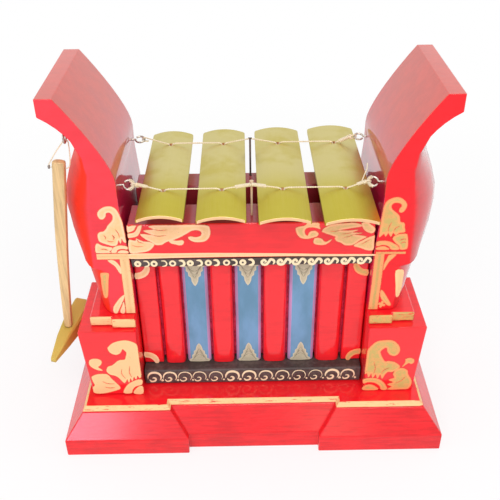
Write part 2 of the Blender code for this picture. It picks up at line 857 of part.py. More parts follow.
def cord_route(y, pin_y, roll):
    """From the left eye through each key, round its peg and up again, past the pin, to the right eye."""
    offset = CORD_DIAMETER / 2
    rim = eye_centre_x() - (EYE_DIAMETER - EYE_WIRE) / 2
    steps = 8
    step = math.radians(30)
    wrap = (EYE_WIRE / 2 + offset + GAP) / math.cos(step / 2)
    normal = Vector((0, -math.sin(roll), math.cos(roll)))
    centre = Vector((-rim, y, EYE_LEVEL))
    end = [centre + Vector((5 * offset, 0, 0)) - normal * wrap]
    for i in range(steps):
        turn = -math.pi / 2 - i * step
        end.append(centre + Vector((math.cos(turn) * wrap, 0, 0)) + normal * (math.sin(turn) * wrap))
    points = [tuple(point) for point in end]
    top = KEY_CROWN + offset + GAP
    strand = KEY_HOLE / 2 - offset - GAP
    loop = PEG_DIAMETER / 2 + offset + GAP
    low = peg_level()
    centres = key_centres()
    for i, middle in enumerate(centres):
        if i == len(centres) // 2:
            points.append((pin_x(), pin_y, EYE_LEVEL))
        points += [
            (middle - 3.2 * strand, y, top + 0.25 * offset),
            (middle - strand, y, top - offset),
            (middle - strand, y, KEY_CROWN - KEY_THICKNESS),
            (middle - loop, y, low),
            (middle - 0.7 * loop, y, low - 0.7 * loop),
            (middle, y, low - loop),
            (middle + 0.7 * loop, y, low - 0.7 * loop),
            (middle + loop, y, low),
            (middle + strand, y, KEY_CROWN - KEY_THICKNESS),
            (middle + strand, y, top - offset),
            (middle + 3.2 * strand, y, top + 0.25 * offset),
        ]
    points += [(-x, y, z) for x, y, z in (tuple(point) for point in reversed(end))]
    return points


def make_suspension(front_rail, back_rail):
    front = -CORD_SPREAD / 2
    back = CORD_SPREAD / 2
    beside = (PIN_DIAMETER + CORD_DIAMETER) / 2 + GAP
    make_eyes()
    make_pin("front_pin", front_rail, front, front, PALE_WOOD)
    lean = back - 2 * beside
    make_pin("back_pin", back_rail, back_pin_foot(), lean, STEEL)
    front_route = cord_route(front, front - beside, FRONT_EYE_ROLL)
    back_route = cord_route(back, lean + 1.4 * beside, BACK_EYE_ROLL)
    wire("front_cord", front_route, CORD_DIAMETER, CORD)
    wire("back_cord", back_route, CORD_DIAMETER, CORD)


# Mallet: a bowed handle in a wedge-shaped wooden head, hung by a string from the left horn


def hook_point():
    """Where the hook enters the underside of the left horn."""
    out = HORN_REACH - HOOK_FROM_TIP
    height = height_at(horn_underside(), out)
    return Vector((-(CASE_SIDE + out), WING_FRONT + HOOK_SET_BACK, WING_FOOT + height))


def hook_ring():
    return hook_point() - Vector((0, 0, HOOK_NECK + EYE_DIAMETER / 2))


def hook_ring_bottom():
    """The middle of the ring's wire at its lowest point, where the string turns."""
    return hook_ring() - Vector((0, 0, (EYE_DIAMETER - EYE_WIRE) / 2))


def hole_point():
    """The middle of the hole in the handle, which hangs just clear of the wing's belly."""
    hook = hook_ring_bottom()
    swell = belly_swell(hook.y / WING_BACK)
    belly = value_at(edge_outline(), BELLY_HEIGHT)
    belly += (BELLY_WIDTH - belly) * swell
    out = CASE_SIDE + belly + BELLY_CLEARANCE + HANDLE_WIDTH / 2
    return Vector((-out, hook.y, hook.z - STRING_DROP))


def mallet_tilt():
    """The lean of the handle when the inner corner of the head's striking end rests beside the block."""
    corner = Vector((HEAD_WIDTH / 2, HEAD_BEHIND_HANDLE, 0))
    corner.rotate(Matrix.Rotation(HEAD_TURN, 3, "Z"))
    drop = HANDLE_LENGTH + HEAD_HEIGHT / 2
    beside = CASE_SIDE + BLOCK_WIDTH + BLOCK_CLEARANCE + hole_point().x
    return math.atan2(corner.x, drop) + math.asin(beside / math.hypot(corner.x, drop))


def handle_section(distance):
    """One ring of the handle this far below the hole; it narrows to the head and its middle bows out."""
    whole = HANDLE_LENGTH
    share = max(0.0, distance / whole)
    narrowed = max(0.0, (share - HANDLE_NARROWS) / (1 - HANDLE_NARROWS))
    width = HANDLE_WIDTH + (HANDLE_END_WIDTH - HANDLE_WIDTH) * narrowed
    bow = -HANDLE_BOW * math.sin(math.pi * min(1.0, share))
    ring = []
    sides = 12
    for i in range(sides):
        turn = math.tau * (i + 0.5) / sides
        reach = 1 / (abs(math.cos(turn)) ** 4 + abs(math.sin(turn)) ** 4) ** 0.25
        x = bow + reach * math.cos(turn) * width / 2
        y = reach * math.sin(turn) * HANDLE_DEPTH / 2
        ring.append((x, y, -distance))
    return ring


def mallet_place():
    """The mallet's frame: its origin in the handle's hole and its Z axis up the handle."""
    lean = Matrix.Rotation(mallet_tilt(), 4, "Y") @ Matrix.Rotation(MALLET_LEAN, 4, "X")
    return Matrix.Translation(hole_point()) @ lean


def make_handle():
    place = mallet_place()
    steps = 12
    top = -HANDLE_ABOVE_HOLE
    cap = [(x * HANDLE_CAP, y * HANDLE_CAP, z + HANDLE_CAP_HEIGHT) for x, y, z in handle_section(top)]
    sections = [cap]
    sections += [handle_section(top + (HANDLE_LENGTH - top) * i / steps) for i in range(steps + 1)]
    turns = [math.tau * (i + 0.5) / len(cap) for i in range(len(cap))]
    for depth in (0, HANDLE_SOCKET - GAP):
        tenon = [(math.cos(a) * TENON_DIAMETER / 2, math.sin(a) * TENON_DIAMETER / 2) for a in turns]
        sections.append(at_level(tenon, -HANDLE_LENGTH - depth))
    handle = from_bmesh("mallet_handle", loft(sections), PALE_WOOD, place, smooth=math.radians(35))
    across = place.to_3x3() @ Vector((HANDLE_WIDTH, 0, 0))
    hole = hole_point()
    string_bore = STRING_DIAMETER / 2 + BORE_CLEARANCE
    cut_bore(handle, "string_bore", hole - across, hole + across, string_bore)


def head_section(distance, width, height, high):
    """One eight-sided ring of the head, this far from its striking end and with its top at high."""
    half = width / 2
    low = high - height
    y = HEAD_BEHIND_HANDLE - distance
    corner = HEAD_CORNER * min(width, height)
    ring = [
        (half, y, low + corner),
        (half, y, high - corner),
        (half - corner, y, high),
        (-half + corner, y, high),
        (-half, y, high - corner),
        (-half, y, low + corner),
        (-half + corner, y, low),
        (half - corner, y, low),
    ]
    spin = Matrix.Rotation(HEAD_TURN, 3, "Z")
    return [spin @ Vector(point) for point in ring]


def make_head():
    place = mallet_place()
    top = -HANDLE_LENGTH - GAP
    edge = 2 * HEAD_EDGE
    rings = [
        head_section(0, HEAD_WIDTH - edge, HEAD_HEIGHT - edge, top - HEAD_EDGE),
        head_section(HEAD_EDGE, HEAD_WIDTH, HEAD_HEIGHT, top),
        head_section(HEAD_SHOULDER, HEAD_WIDTH, HEAD_HEIGHT, top),
        head_section(HEAD_WAIST, HEAD_WAIST_WIDTH, HEAD_WAIST_HEIGHT, top - HEAD_WAIST_DROP),
        head_section(HEAD_LENGTH, HEAD_TIP, HEAD_TIP, top - HEAD_TIP_DROP),
    ]
    head = from_bmesh("mallet_head", loft(rings), HEAD_WOOD, place, smooth=math.radians(40))
    mouth = place @ Vector((0, 0, top + HANDLE_SOCKET))
    bottom = place @ Vector((0, 0, top - HANDLE_SOCKET))
    cut_bore(head, "handle_socket", mouth, bottom, TENON_DIAMETER / 2 + BORE_CLEARANCE, sides=16)


def string_route():
    """From the knot through the handle, up to the hook's ring and back down to the knot."""
    hole = hole_point()
    ring = hook_ring_bottom()
    across = mallet_place().to_3x3() @ Vector((1, 0, 0))
    reach = HANDLE_WIDTH / 2
    over = (EYE_WIRE + STRING_DIAMETER) / 2 + 2 * GAP
    turns = [math.radians(45 * i) for i in range(5)]
    knot = hole - across * (reach + KNOT_DIAMETER / 2 + 2 * GAP)
    inside = [
        knot + across * (KNOT_DIAMETER / 2 + GAP),
        hole,
        hole + across * (reach + STRING_EXIT),
    ]
    turned_up = Vector((0, 0, STRING_TURN + STRING_DIAMETER))
    rise = [
        hole + across * (reach + STRING_EXIT + STRING_TURN) + turned_up,
        (hole + across * reach + ring) / 2 + Vector((STRING_BOW, 0, 0)),
        *(ring + Vector((math.cos(a) * over, 0, math.sin(a) * over)) for a in turns),
        (knot + ring) / 2 + Vector((-STRING_SLACK, 0, STRING_SLACK)),
        knot + Vector((0, 0, KNOT_DIAMETER / 2 + STRING_DIAMETER / 2 + GAP)),
    ]
    return inside, rise, knot


def make_string():
    inside, rise, knot = string_route()
    path = inside[:2] + smooth_through([inside[2], *rise], 3)
    hook = hook_ring()
    place = Matrix.Translation(hook)
    wire("mallet_string", [Vector(p) - hook for p in path], STRING_DIAMETER, CORD, place)
    ball = bmesh.new()
    beside_hook = Matrix.Translation(knot - hook)
    bmesh.ops.create_icosphere(ball, subdivisions=2, radius=KNOT_DIAMETER / 2, matrix=beside_hook)
    from_bmesh("mallet_string_knot", ball, CORD, place, smooth=math.radians(60))


def main():
    make_base()
    wings = {}
    for side, prefix in ((-1, "left"), (1, "right")):
        make_side(side, prefix)
        wings[prefix] = make_wing(side, prefix)
    front_rail, back_rail = make_case()
    make_grille()
    for index, (centre, width) in enumerate(zip(key_centres(), key_widths())):
        make_key(index, centre, width, KEY_LENGTH + index * KEY_LENGTH_STEP)
        make_pegs(index, centre)
    make_suspension(front_rail, back_rail)
    hook = hook_point()
    cut_bore(
        wings["left"],
        "hook_bore",
        hook - Vector((0, 0, HOOK_NECK)),
        hook + Vector((0, 0, EYE_THREAD + GAP)),
        EYE_WIRE / 2 + BORE_CLEARANCE,
    )
    make_screw_eye("mallet_hook", hook, (0, 0, -1), 0, HOOK_NECK, EYE_THREAD)
    make_handle()
    make_head()
    make_string()


main()
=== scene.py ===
"""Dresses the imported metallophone: enamel, gold ornament, brass, wood, cords, and the studio it stands in."""
import json
import math

import bmesh
import bpy
from bpy.props import FloatProperty, FloatVectorProperty, PointerProperty
from bpy.types import Operator, Panel, PropertyGroup
from mathutils import Matrix, Vector
from mathutils.bvhtree import BVHTree
from mathutils.kdtree import KDTree
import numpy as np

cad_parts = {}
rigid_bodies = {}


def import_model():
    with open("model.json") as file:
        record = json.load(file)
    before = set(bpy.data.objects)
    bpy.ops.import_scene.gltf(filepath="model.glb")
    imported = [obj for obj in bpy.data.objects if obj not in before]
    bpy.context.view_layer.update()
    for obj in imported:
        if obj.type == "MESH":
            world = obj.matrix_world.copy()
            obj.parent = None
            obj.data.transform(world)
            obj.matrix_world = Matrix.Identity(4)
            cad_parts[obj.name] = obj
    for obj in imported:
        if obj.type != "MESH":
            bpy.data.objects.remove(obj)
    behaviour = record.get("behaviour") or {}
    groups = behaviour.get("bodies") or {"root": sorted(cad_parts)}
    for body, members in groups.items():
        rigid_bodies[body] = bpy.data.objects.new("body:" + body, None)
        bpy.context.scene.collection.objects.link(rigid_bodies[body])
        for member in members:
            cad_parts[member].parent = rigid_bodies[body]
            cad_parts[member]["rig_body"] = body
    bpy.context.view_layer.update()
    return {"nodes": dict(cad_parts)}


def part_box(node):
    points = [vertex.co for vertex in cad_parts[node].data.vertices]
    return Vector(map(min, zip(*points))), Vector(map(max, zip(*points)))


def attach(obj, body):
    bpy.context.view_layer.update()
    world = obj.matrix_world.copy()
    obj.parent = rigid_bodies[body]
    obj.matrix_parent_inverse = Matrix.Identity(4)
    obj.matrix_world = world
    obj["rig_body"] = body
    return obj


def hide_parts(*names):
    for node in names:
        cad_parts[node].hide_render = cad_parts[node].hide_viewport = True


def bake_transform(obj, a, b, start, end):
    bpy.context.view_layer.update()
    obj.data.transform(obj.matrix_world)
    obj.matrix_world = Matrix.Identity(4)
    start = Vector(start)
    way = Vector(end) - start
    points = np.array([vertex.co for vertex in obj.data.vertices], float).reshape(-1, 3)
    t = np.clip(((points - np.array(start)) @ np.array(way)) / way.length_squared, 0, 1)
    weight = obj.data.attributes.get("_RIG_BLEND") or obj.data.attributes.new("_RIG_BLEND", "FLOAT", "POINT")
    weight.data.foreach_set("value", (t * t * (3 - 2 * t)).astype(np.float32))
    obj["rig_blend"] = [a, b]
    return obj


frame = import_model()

bl_info = {
    "name": "Metallophone",
    "version": (1, 0, 0),
    "blender": (4, 5, 0),
    "location": "View3D > Sidebar > Metallophone",
    "description": "Paints and dresses a small four-key metallophone",
    "category": "Object",
}

MM = 0.001
NODES = frame["nodes"]


def low(node):
    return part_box(node)[0]


def high(node):
    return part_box(node)[1]


def middle(node):
    return (low(node) + high(node)) / 2


# Shader maths


class Value:
    """A shader socket; arithmetic on it adds Math nodes."""

    def __init__(self, nodes, socket):
        self.nodes = nodes
        self.socket = socket

    def maths(self, operation, *values):
        return self.nodes.add("ShaderNodeMath", {"operation": operation}, dict(enumerate(values)))

    def __add__(self, other):
        return self.maths("ADD", self, other)

    def __radd__(self, other):
        return self.maths("ADD", other, self)

    def __sub__(self, other):
        return self.maths("SUBTRACT", self, other)

    def __rsub__(self, other):
        return self.maths("SUBTRACT", other, self)

    def __mul__(self, other):
        return self.maths("MULTIPLY", self, other)

    def __rmul__(self, other):
        return self.maths("MULTIPLY", other, self)

    def larger(self, other):
        return self.maths("MAXIMUM", self, other)

    def between(self, low, high):
        """0 below low and 1 above high, with a soft step between them."""
        inputs = {"Value": self, "From Min": low, "From Max": high}
        return self.nodes.add("ShaderNodeMapRange", {"interpolation_type": "SMOOTHSTEP"}, inputs)


class Nodes:
    """The node tree of a material or of the world, in the making."""

    def __init__(self, owner):
        owner.use_nodes = True
        self.tree = owner.node_tree

    def add(self, kind, settings=None, inputs=None, output=0):
        """Adds a node, feeds its inputs and gives back one of its outputs."""
        node = self.tree.nodes.new(kind)
        for name, value in (settings or {}).items():
            setattr(node, name, value)
        for name, value in (inputs or {}).items():
            self.feed(node.inputs[name], value)
        return Value(self, node.outputs[output])

    def feed(self, socket, value):
        if isinstance(value, Value):
            self.tree.links.new(value.socket, socket)
        else:
            socket.default_value = value

    def seen_rays(self):
        """1 for rays from the camera and for mirrored and refracted ones, and 0 for the rest."""
        camera, glossy, through = (
            self.add("ShaderNodeLightPath", output="Is %s Ray" % kind) for kind in ("Camera", "Glossy", "Transmission")
        )
        return camera.larger(glossy.larger(through))


class Finish(Nodes):
    """A material in the making."""

    def __init__(self, name, **constants):
        self.material = bpy.data.materials.new(name)
        super().__init__(self.material)
        self.shader = self.tree.nodes["Principled BSDF"]
        self.surface(**constants)

    def surface(self, **inputs):
        """Sets or feeds the shader's own sockets, such as base_color."""
        for name, value in inputs.items():
            socket = name.replace("_", " ").title().replace("Ior", "IOR")
            self.feed(self.shader.inputs[socket], value)
        return self.material

    def coordinates(self, kind="Object"):
        return self.add("ShaderNodeTexCoord", output=kind)

    def part(self, vector, axis):
        """The x, y or z of a vector, for axis 0, 1 or 2."""
        return self.add("ShaderNodeSeparateXYZ", {}, {0: vector}, output=axis)

    def place(self, scale=(1, 1, 1), turn=(0, 0, 0)):
        return self.add("ShaderNodeMapping", {}, {"Vector": self.coordinates(), "Rotation": turn, "Scale": scale})

    def noise(self, scale, place=None, detail=2.0, roughness=0.5):
        inputs = {"Vector": place or self.place(), "Scale": scale, "Detail": detail, "Roughness": roughness}
        return self.add("ShaderNodeTexNoise", {}, inputs)

    def blend(self, factor, first, second, way="MIX"):
        inputs = {"Factor": factor, 6: as_colour(first), 7: as_colour(second)}
        return self.add("ShaderNodeMix", {"data_type": "RGBA", "blend_type": way}, inputs, output=2)

    def bump(self, height, distance, strength):
        return self.add("ShaderNodeBump", {}, {"Height": height, "Distance": distance, "Strength": strength})


def as_colour(value):
    return value if isinstance(value, Value) else (*value, 1)


def tinted(colour, *factors):
    """The colour times one factor, or times one for each channel, with no channel above 1."""
    factors = factors * 3 if len(factors) == 1 else factors
    return [min(1, c * k) for c, k in zip(colour, factors)]


def halfway(first, second):
    return [0.5 * (a + b) for a, b in zip(first, second)]


# Finishes

HORN_SIDE = 0.3, 0.6  # sideways part of the normal where a horn's front gives way to its broad side
HORN_TIP = 0.5, 0.8  # upward part of the normal where its side gives way to its tip
HORN_COOL, HORN_WARM = 0.175, 0.245  # heights in metres between which the painted reflection on its hollow side turns warmer
FRONT_GLOSS = 0.2  # share of the coat on a horn's front


def enamel(name, colour, texture=1.0, horn=None, **constants):
    """Glossy brushed-on enamel: thin and thick places, long brush marks and a few dust specks."""
    finish = Finish(name, specular_ior_level=0.1, **{"coat_roughness": 0.08, **constants})
    cloud = finish.noise(34, detail=4, roughness=0.6)
    patches = finish.noise(150, finish.place(scale=(0.5, 1, 1)), detail=3)
    brush = finish.noise(700, finish.place(scale=(0.08, 1, 1)))
    specks = finish.noise(2300, detail=0).between(0.74, 0.8)
    gloss = 1 - 0.35 * specks
    if horn:
        colour, gloss = horn_sides(finish, colour, gloss, cloud, *horn)
    mottling = (0.4 * cloud + (0.6 - 0.2 * texture) * patches + 0.2 * texture * brush).between(0.36, 0.62)
    shade = finish.blend(mottling, [1 - 0.12 * texture] * 3, [1.04] * 3)
    height = 0.6 * brush + 1.6 * texture * patches + 0.4 * specks
    return finish.surface(
        base_color=finish.blend(1.0, colour, shade, "MULTIPLY"),
        roughness=0.38 + 0.12 * cloud,
        coat_weight=gloss,
        normal=finish.bump(height, 0.09 * texture**2 * MM, 0.4 * texture),
    )


def horn_sides(finish, paint, gloss, cloud, hollow, outside, mirrored):
    """Lays a horn's hollow and outer sides, and its tip, over its front's paint; each has a colour and a share of the
    coat, and these colours are painted shade and painted light.
    """
    normal = finish.coordinates("Normal")
    across = finish.part(normal, 0)
    upwards = finish.part(normal, 2).between(*HORN_TIP)
    inner, outer = (side.between(*HORN_SIDE) for side in (across, 0 - across))
    if mirrored:
        inner, outer = outer, inner
    (red, green, blue), hollow_gloss = hollow
    # painted reflection: the hollow side's tint is bluer low down and warmer higher up
    level = (finish.part(finish.coordinates(), 2) + 0.04 * cloud).between(HORN_COOL, HORN_WARM)
    inside = finish.blend(level, (red, green, blue + 0.06), (red, green + 0.03, blue))
    gloss = gloss * FRONT_GLOSS
    for share, tint, shine in ((upwards.larger(inner), inside, hollow_gloss), (outer * (1 - upwards), *outside)):
        paint = finish.blend(share, paint, tint)
        gloss = gloss + share * (shine - FRONT_GLOSS)
    return paint, gloss


def gold_paint(name, pale, deep, red=None, mottling=1.0):
    """Matt gold paint, deeper inside a stroke and paler along its rim; with red, it is rubbed through to the enamel."""
    finish = Finish(name, coat_roughness=0.3, specular_ior_level=0.3)
    rim = finish.add("ShaderNodeAttribute", {"attribute_name": "rim"}, output="Fac")
    patches = finish.noise(330, detail=4, roughness=0.65)
    grain = finish.noise(1300, detail=3, roughness=0.6)
    inside = finish.blend(patches.between(0.4, 0.62), deep, halfway(deep, pale))
    paint = finish.blend((rim + 0.5 * (grain - 0.5)).between(0.15, 0.6), inside, pale)
    worn = (0.5 * patches + 0.5 * grain).between(0.56, 0.68)
    paint = finish.blend(0.45 * mottling * worn, paint, tinted(deep, 0.5, 0.5, 0.45))
    if red:
        streaks = finish.noise(420, finish.place(scale=(0.25, 1, 2.5)), detail=4, roughness=0.7)
        paint = finish.blend(streaks.between(0.58, 0.66), paint, red)
    bumps = finish.bump(patches + 0.5 * grain, 0.05 * MM, 0.5)
    return finish.surface(base_color=paint, roughness=0.42 + 0.2 * patches, normal=bumps)


def outline_paint(name, colour):
    """The thin brown-red line that is left round a painted leaf."""
    finish = Finish(name, specular_ior_level=0.3)
    broken = finish.noise(900, detail=3)
    paint = finish.blend(broken.between(0.35, 0.65), colour, tinted(colour, 1.8))
    return finish.surface(base_color=paint, roughness=0.5 + 0.1 * broken)


def charcoal(name, colour):
    """Thin dark paint or stain, worn and smeared."""
    finish = Finish(name, specular_ior_level=0.4)
    worn = finish.noise(420, detail=4, roughness=0.6)
    smears = finish.noise(160, finish.place(scale=(0.2, 1, 1)), detail=3)
    paint = finish.blend((0.5 * worn + 0.5 * smears).between(0.4, 0.66), colour, [c * 1.9 + 0.012 for c in colour])
    return finish.surface(base_color=paint, roughness=0.45 + 0.2 * worn, normal=finish.bump(worn, 0.05 * MM, 0.4))


def satin_blue(name, colour):
    """Satin paint, cloudy along its length."""
    finish = Finish(name, coat_roughness=0.25, coat_weight=0.15)
    cloud = finish.noise(60, finish.place(scale=(1, 1, 0.4)), detail=4, roughness=0.6)
    dust = finish.noise(1500, detail=3)
    paint = finish.blend(cloud.between(0.32, 0.68), tinted(colour, 0.85, 0.85, 0.8), tinted(colour, 1.3, 1.12, 1.12))
    return finish.surface(base_color=paint, roughness=0.36 + 0.15 * dust, normal=finish.bump(dust, 0.03 * MM, 0.3))


def brushed_brass(name, colour, worn, cut=False):
    """Dull polished brass, yellower towards the front of the key; the sawn ends are cross-grained."""
    finish = Finish(name, metallic=1.0)
    lines = finish.noise(
        1500, finish.place(scale=(0.9, 1, 0.05) if cut else (1, 0.025, 1)), detail=4, roughness=0.65
    )
    tarnish = finish.noise(42, detail=4, roughness=0.6)
    dents = finish.noise(120, detail=1)
    # the key takes the second colour towards its front, ending near the front cord
    frontward = 1 - (finish.part(finish.coordinates(), 1) + 0.03 * tarnish).between(-0.03, 0.012)
    ground = finish.blend(frontward, colour, worn)
    bright = finish.blend(0.6 * tarnish.between(0.4, 0.7), ground, tinted(worn, 0.95, 0.92, 0.9))
    return finish.surface(
        base_color=finish.blend(0.25 * lines, bright, tinted(colour, 1.2)),
        roughness=0.33 + 0.16 * tarnish,
        normal=finish.bump(0.5 * lines + 1.2 * dents, 0.05 * MM, 0.22),
    )


def plated_wire(name, colour):
    """Plated or bare wire with dull spots."""
    finish = Finish(name, metallic=1.0)
    spots = finish.noise(700, detail=3)
    paint = finish.blend(spots.between(0.45, 0.75), colour, tinted(colour, 0.5))
    return finish.surface(base_color=paint, roughness=0.25 + 0.25 * spots)


def wood(name, colour, dark, turn=(0, 0, 0), coat=0.0):
    """Straight-grained wood; turn lays the grain, which runs along Z when unturned."""
    finish = Finish(name, coat_roughness=0.15, coat_weight=coat, specular_ior_level=0.4)
    place = finish.place(scale=(1, 1, 0.05), turn=turn)
    grain = finish.noise(520, place, detail=4, roughness=0.6)
    pores = finish.noise(2300, place, detail=1).between(0.6, 0.72)
    paint = finish.blend(grain.between(0.32, 0.7), colour, dark)
    paint = finish.blend(0.45 * pores, paint, tinted(dark, 0.7))
    paint = finish.blend(0.35 * finish.noise(60), paint, tinted(colour, 1.25))
    bumps = finish.bump(0.6 * grain - pores, 0.05 * MM, 0.4)
    return finish.surface(base_color=paint, roughness=0.42 + 0.15 * grain, normal=bumps)


def cotton(name, colour):
    """Dull thread, soiled in places."""
    finish = Finish(name, specular_ior_level=0.15)
    fibres = finish.noise(5200)
    paint = finish.blend(fibres.between(0.3, 0.75), tinted(colour, 0.7), colour)
    paint = finish.blend(0.3 * finish.noise(180).between(0.5, 0.7), paint, tinted(colour, 0.8, 0.7, 0.5))
    return finish.surface(base_color=paint, roughness=0.8 + 0.1 * fibres, normal=finish.bump(fibres, 0.05 * MM, 0.5))


# Shaping

MERGED = 0.003 * MM  # points closer than this are one point
BORE_EDGE = 1.6 * MM  # edges up to this long go round a bore and stay sharp
BEND = 50  # degrees up to which an edge of a wire looks soft


def add_piece(name, shape, finish, body="case", replaces=(), smooth=None):
    """Turns the bmesh into a piece that rides on a body; smooth is the angle up to which its edges look soft."""
    data = bpy.data.meshes.new(name)
    shape.to_mesh(data)
    shape.free()
    if smooth:
        data.shade_smooth()
        data.set_sharp_from_angle(angle=math.radians(smooth))
    for material in finish if isinstance(finish, (list, tuple)) else [finish]:
        data.materials.append(material)
    piece = bpy.data.objects.new(name, data)
    bpy.context.scene.collection.objects.link(piece)
    if body:
        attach(piece, body)
    if replaces:
        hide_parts(*replaces)
    return piece


def merged_copy(node):
    """The node's mesh with its loose triangles joined and its flat faces whole."""
    shape = bmesh.new()
    shape.from_mesh(NODES[node].data)
    bmesh.ops.remove_doubles(shape, verts=shape.verts, dist=MERGED)
    bmesh.ops.dissolve_limit(shape, angle_limit=math.radians(0.5), verts=shape.verts, edges=shape.edges)
    return shape


def break_edges(shape, width, least, segments):
    """Rounds the edges that turn by more than least degrees, but not the short ones round a bore."""
    sharp = [
        edge
        for edge in shape.edges
        if edge.is_manifold and edge.calc_face_angle() > math.radians(least) and edge.calc_length() > BORE_EDGE
    ]
    bmesh.ops.bevel(
        shape,
        geom=sharp,
        offset=width,
        offset_type="OFFSET",
        segments=segments,
        profile=0.5,
        affect="EDGES",
        clamp_overlap=True,
        material=-1,
    )


def dressed(node, finish, edge=0.0, smooth=40, sort=None, least=25, segments=2, reshape=None):
    """A softened copy of a node, which it replaces; faces whose normal passes sort get the second finish."""
    shape = merged_copy(node)
    if reshape:
        reshape(shape, low(node), high(node))
    if edge:
        break_edges(shape, edge, least, segments)
    shape.normal_update()
    if sort:
        for face in shape.faces:
            face.material_index = int(sort(face.normal))
    piece = add_piece(node + "_dressed", shape, finish, NODES[node]["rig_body"], [node], smooth)
    piece.modifiers.new("even_shading", "WEIGHTED_NORMAL").keep_sharp = True


def spline(points, steps=4, closed=False):
    """Points on a smooth curve through the given ones."""
    points = [Vector(point) for point in points]
    count = len(points)
    found = []
    for i in range(count if closed else count - 1):
        around = [(i + k) % count if closed else min(max(i + k, 0), count - 1) for k in (-1, 0, 1, 2)]
        a, b, c, d = (points[at] for at in around)
        for k in range(steps):
            t = k / steps
            blend = 2 * b + (c - a) * t + (2 * a - 5 * b + 4 * c - d) * t * t + (3 * b - a - 3 * c + d) * t**3
            found.append(blend / 2)
    return found if closed else [*found, points[-1]]


def wire_piece(name, runs, radius, finish, body, replaces=()):
    """Round wire or cord along each run of points, as one mesh."""
    data = bpy.data.curves.new(name, "CURVE")
    data.dimensions = "3D"
    data.bevel_depth = radius
    data.bevel_resolution = 2
    data.use_fill_caps = True
    for run in runs:
        line = data.splines.new("POLY")
        line.points.add(len(run) - 1)
        for point, place in zip(line.points, run):
            point.co = (*place, 1)
    draft = bpy.data.objects.new(name + "_draft", data)
    bpy.context.scene.collection.objects.link(draft)
    bpy.context.view_layer.update()
    mesh = bpy.data.meshes.new_from_object(draft.evaluated_get(bpy.context.evaluated_depsgraph_get()))
    shape = bmesh.new()
    shape.from_mesh(mesh)
    bmesh.ops.remove_doubles(shape, verts=shape.verts, dist=MERGED / 3)
    bmesh.ops.recalc_face_normals(shape, faces=shape.faces)
    bpy.data.objects.remove(draft)
    bpy.data.curves.remove(data)
    bpy.data.meshes.remove(mesh)
    return add_piece(name, shape, finish, body, replaces, smooth=BEND)


def along(path):
    """The stations of a path: each point with its distance from the start and its direction."""
    found = []
    travelled = 0.0
    for i, point in enumerate(path):
        if i:
            travelled += (point - path[i - 1]).length
        ahead = path[min(i + 1, len(path) - 1)] - path[max(i - 1, 0)]
        found.append((travelled, point, ahead.normalized()))
    return found


def walk(stations, count):
    """Goes along the path in even steps: the distance, the last station passed, and the share of the way on."""
    at = 0
    for i in range(count + 1):
        distance = stations[-1][0] * i / count
        while at < len(stations) - 2 and stations[at + 1][0] < distance:
            at += 1
        gap = stations[at + 1][0] - stations[at][0]
        yield distance, at, (distance - stations[at][0]) / gap if gap > 0 else 0


def evened(points, spacing):
    """The path in even steps, with its corners eased."""
    stations = along(points)
    steps = walk(stations, max(2, round(stations[-1][0] / spacing)))
    path = [points[at].lerp(points[at + 1], share) for _, at, share in steps]
    eased = [(a + 2 * b + c) / 4 for a, b, c in zip(path, path[1:], path[2:])]
    return [path[0], *eased, path[-1]]


def coil(path, radius, pitch, phase=0.0, steps=10):
    """A run that winds round a path at this radius and pitch."""
    stations = along(path)
    side = stations[0][2].orthogonal().normalized()
    found = []
    for distance, at, share in walk(stations, max(2, int(stations[-1][0] / pitch * steps))):
        (_, start, before), (_, end, after) = stations[at : at + 2]
        ahead = before.lerp(after, share).normalized()
        side = (side - ahead * side.dot(ahead)).normalized()
        turn = phase + math.tau * distance / pitch
        found.append(start.lerp(end, share) + radius * (side * math.cos(turn) + ahead.cross(side) * math.sin(turn)))
    return found


def two_plies(path, radius, pitch):
    return [coil(path, radius, pitch, phase) for phase in (0, math.pi)]


# Painted ornament. Outlines are in millimetres, seen from the front: x from the foot's inner corner of a block
# or wing, or from a rail's end, and z from its foot.

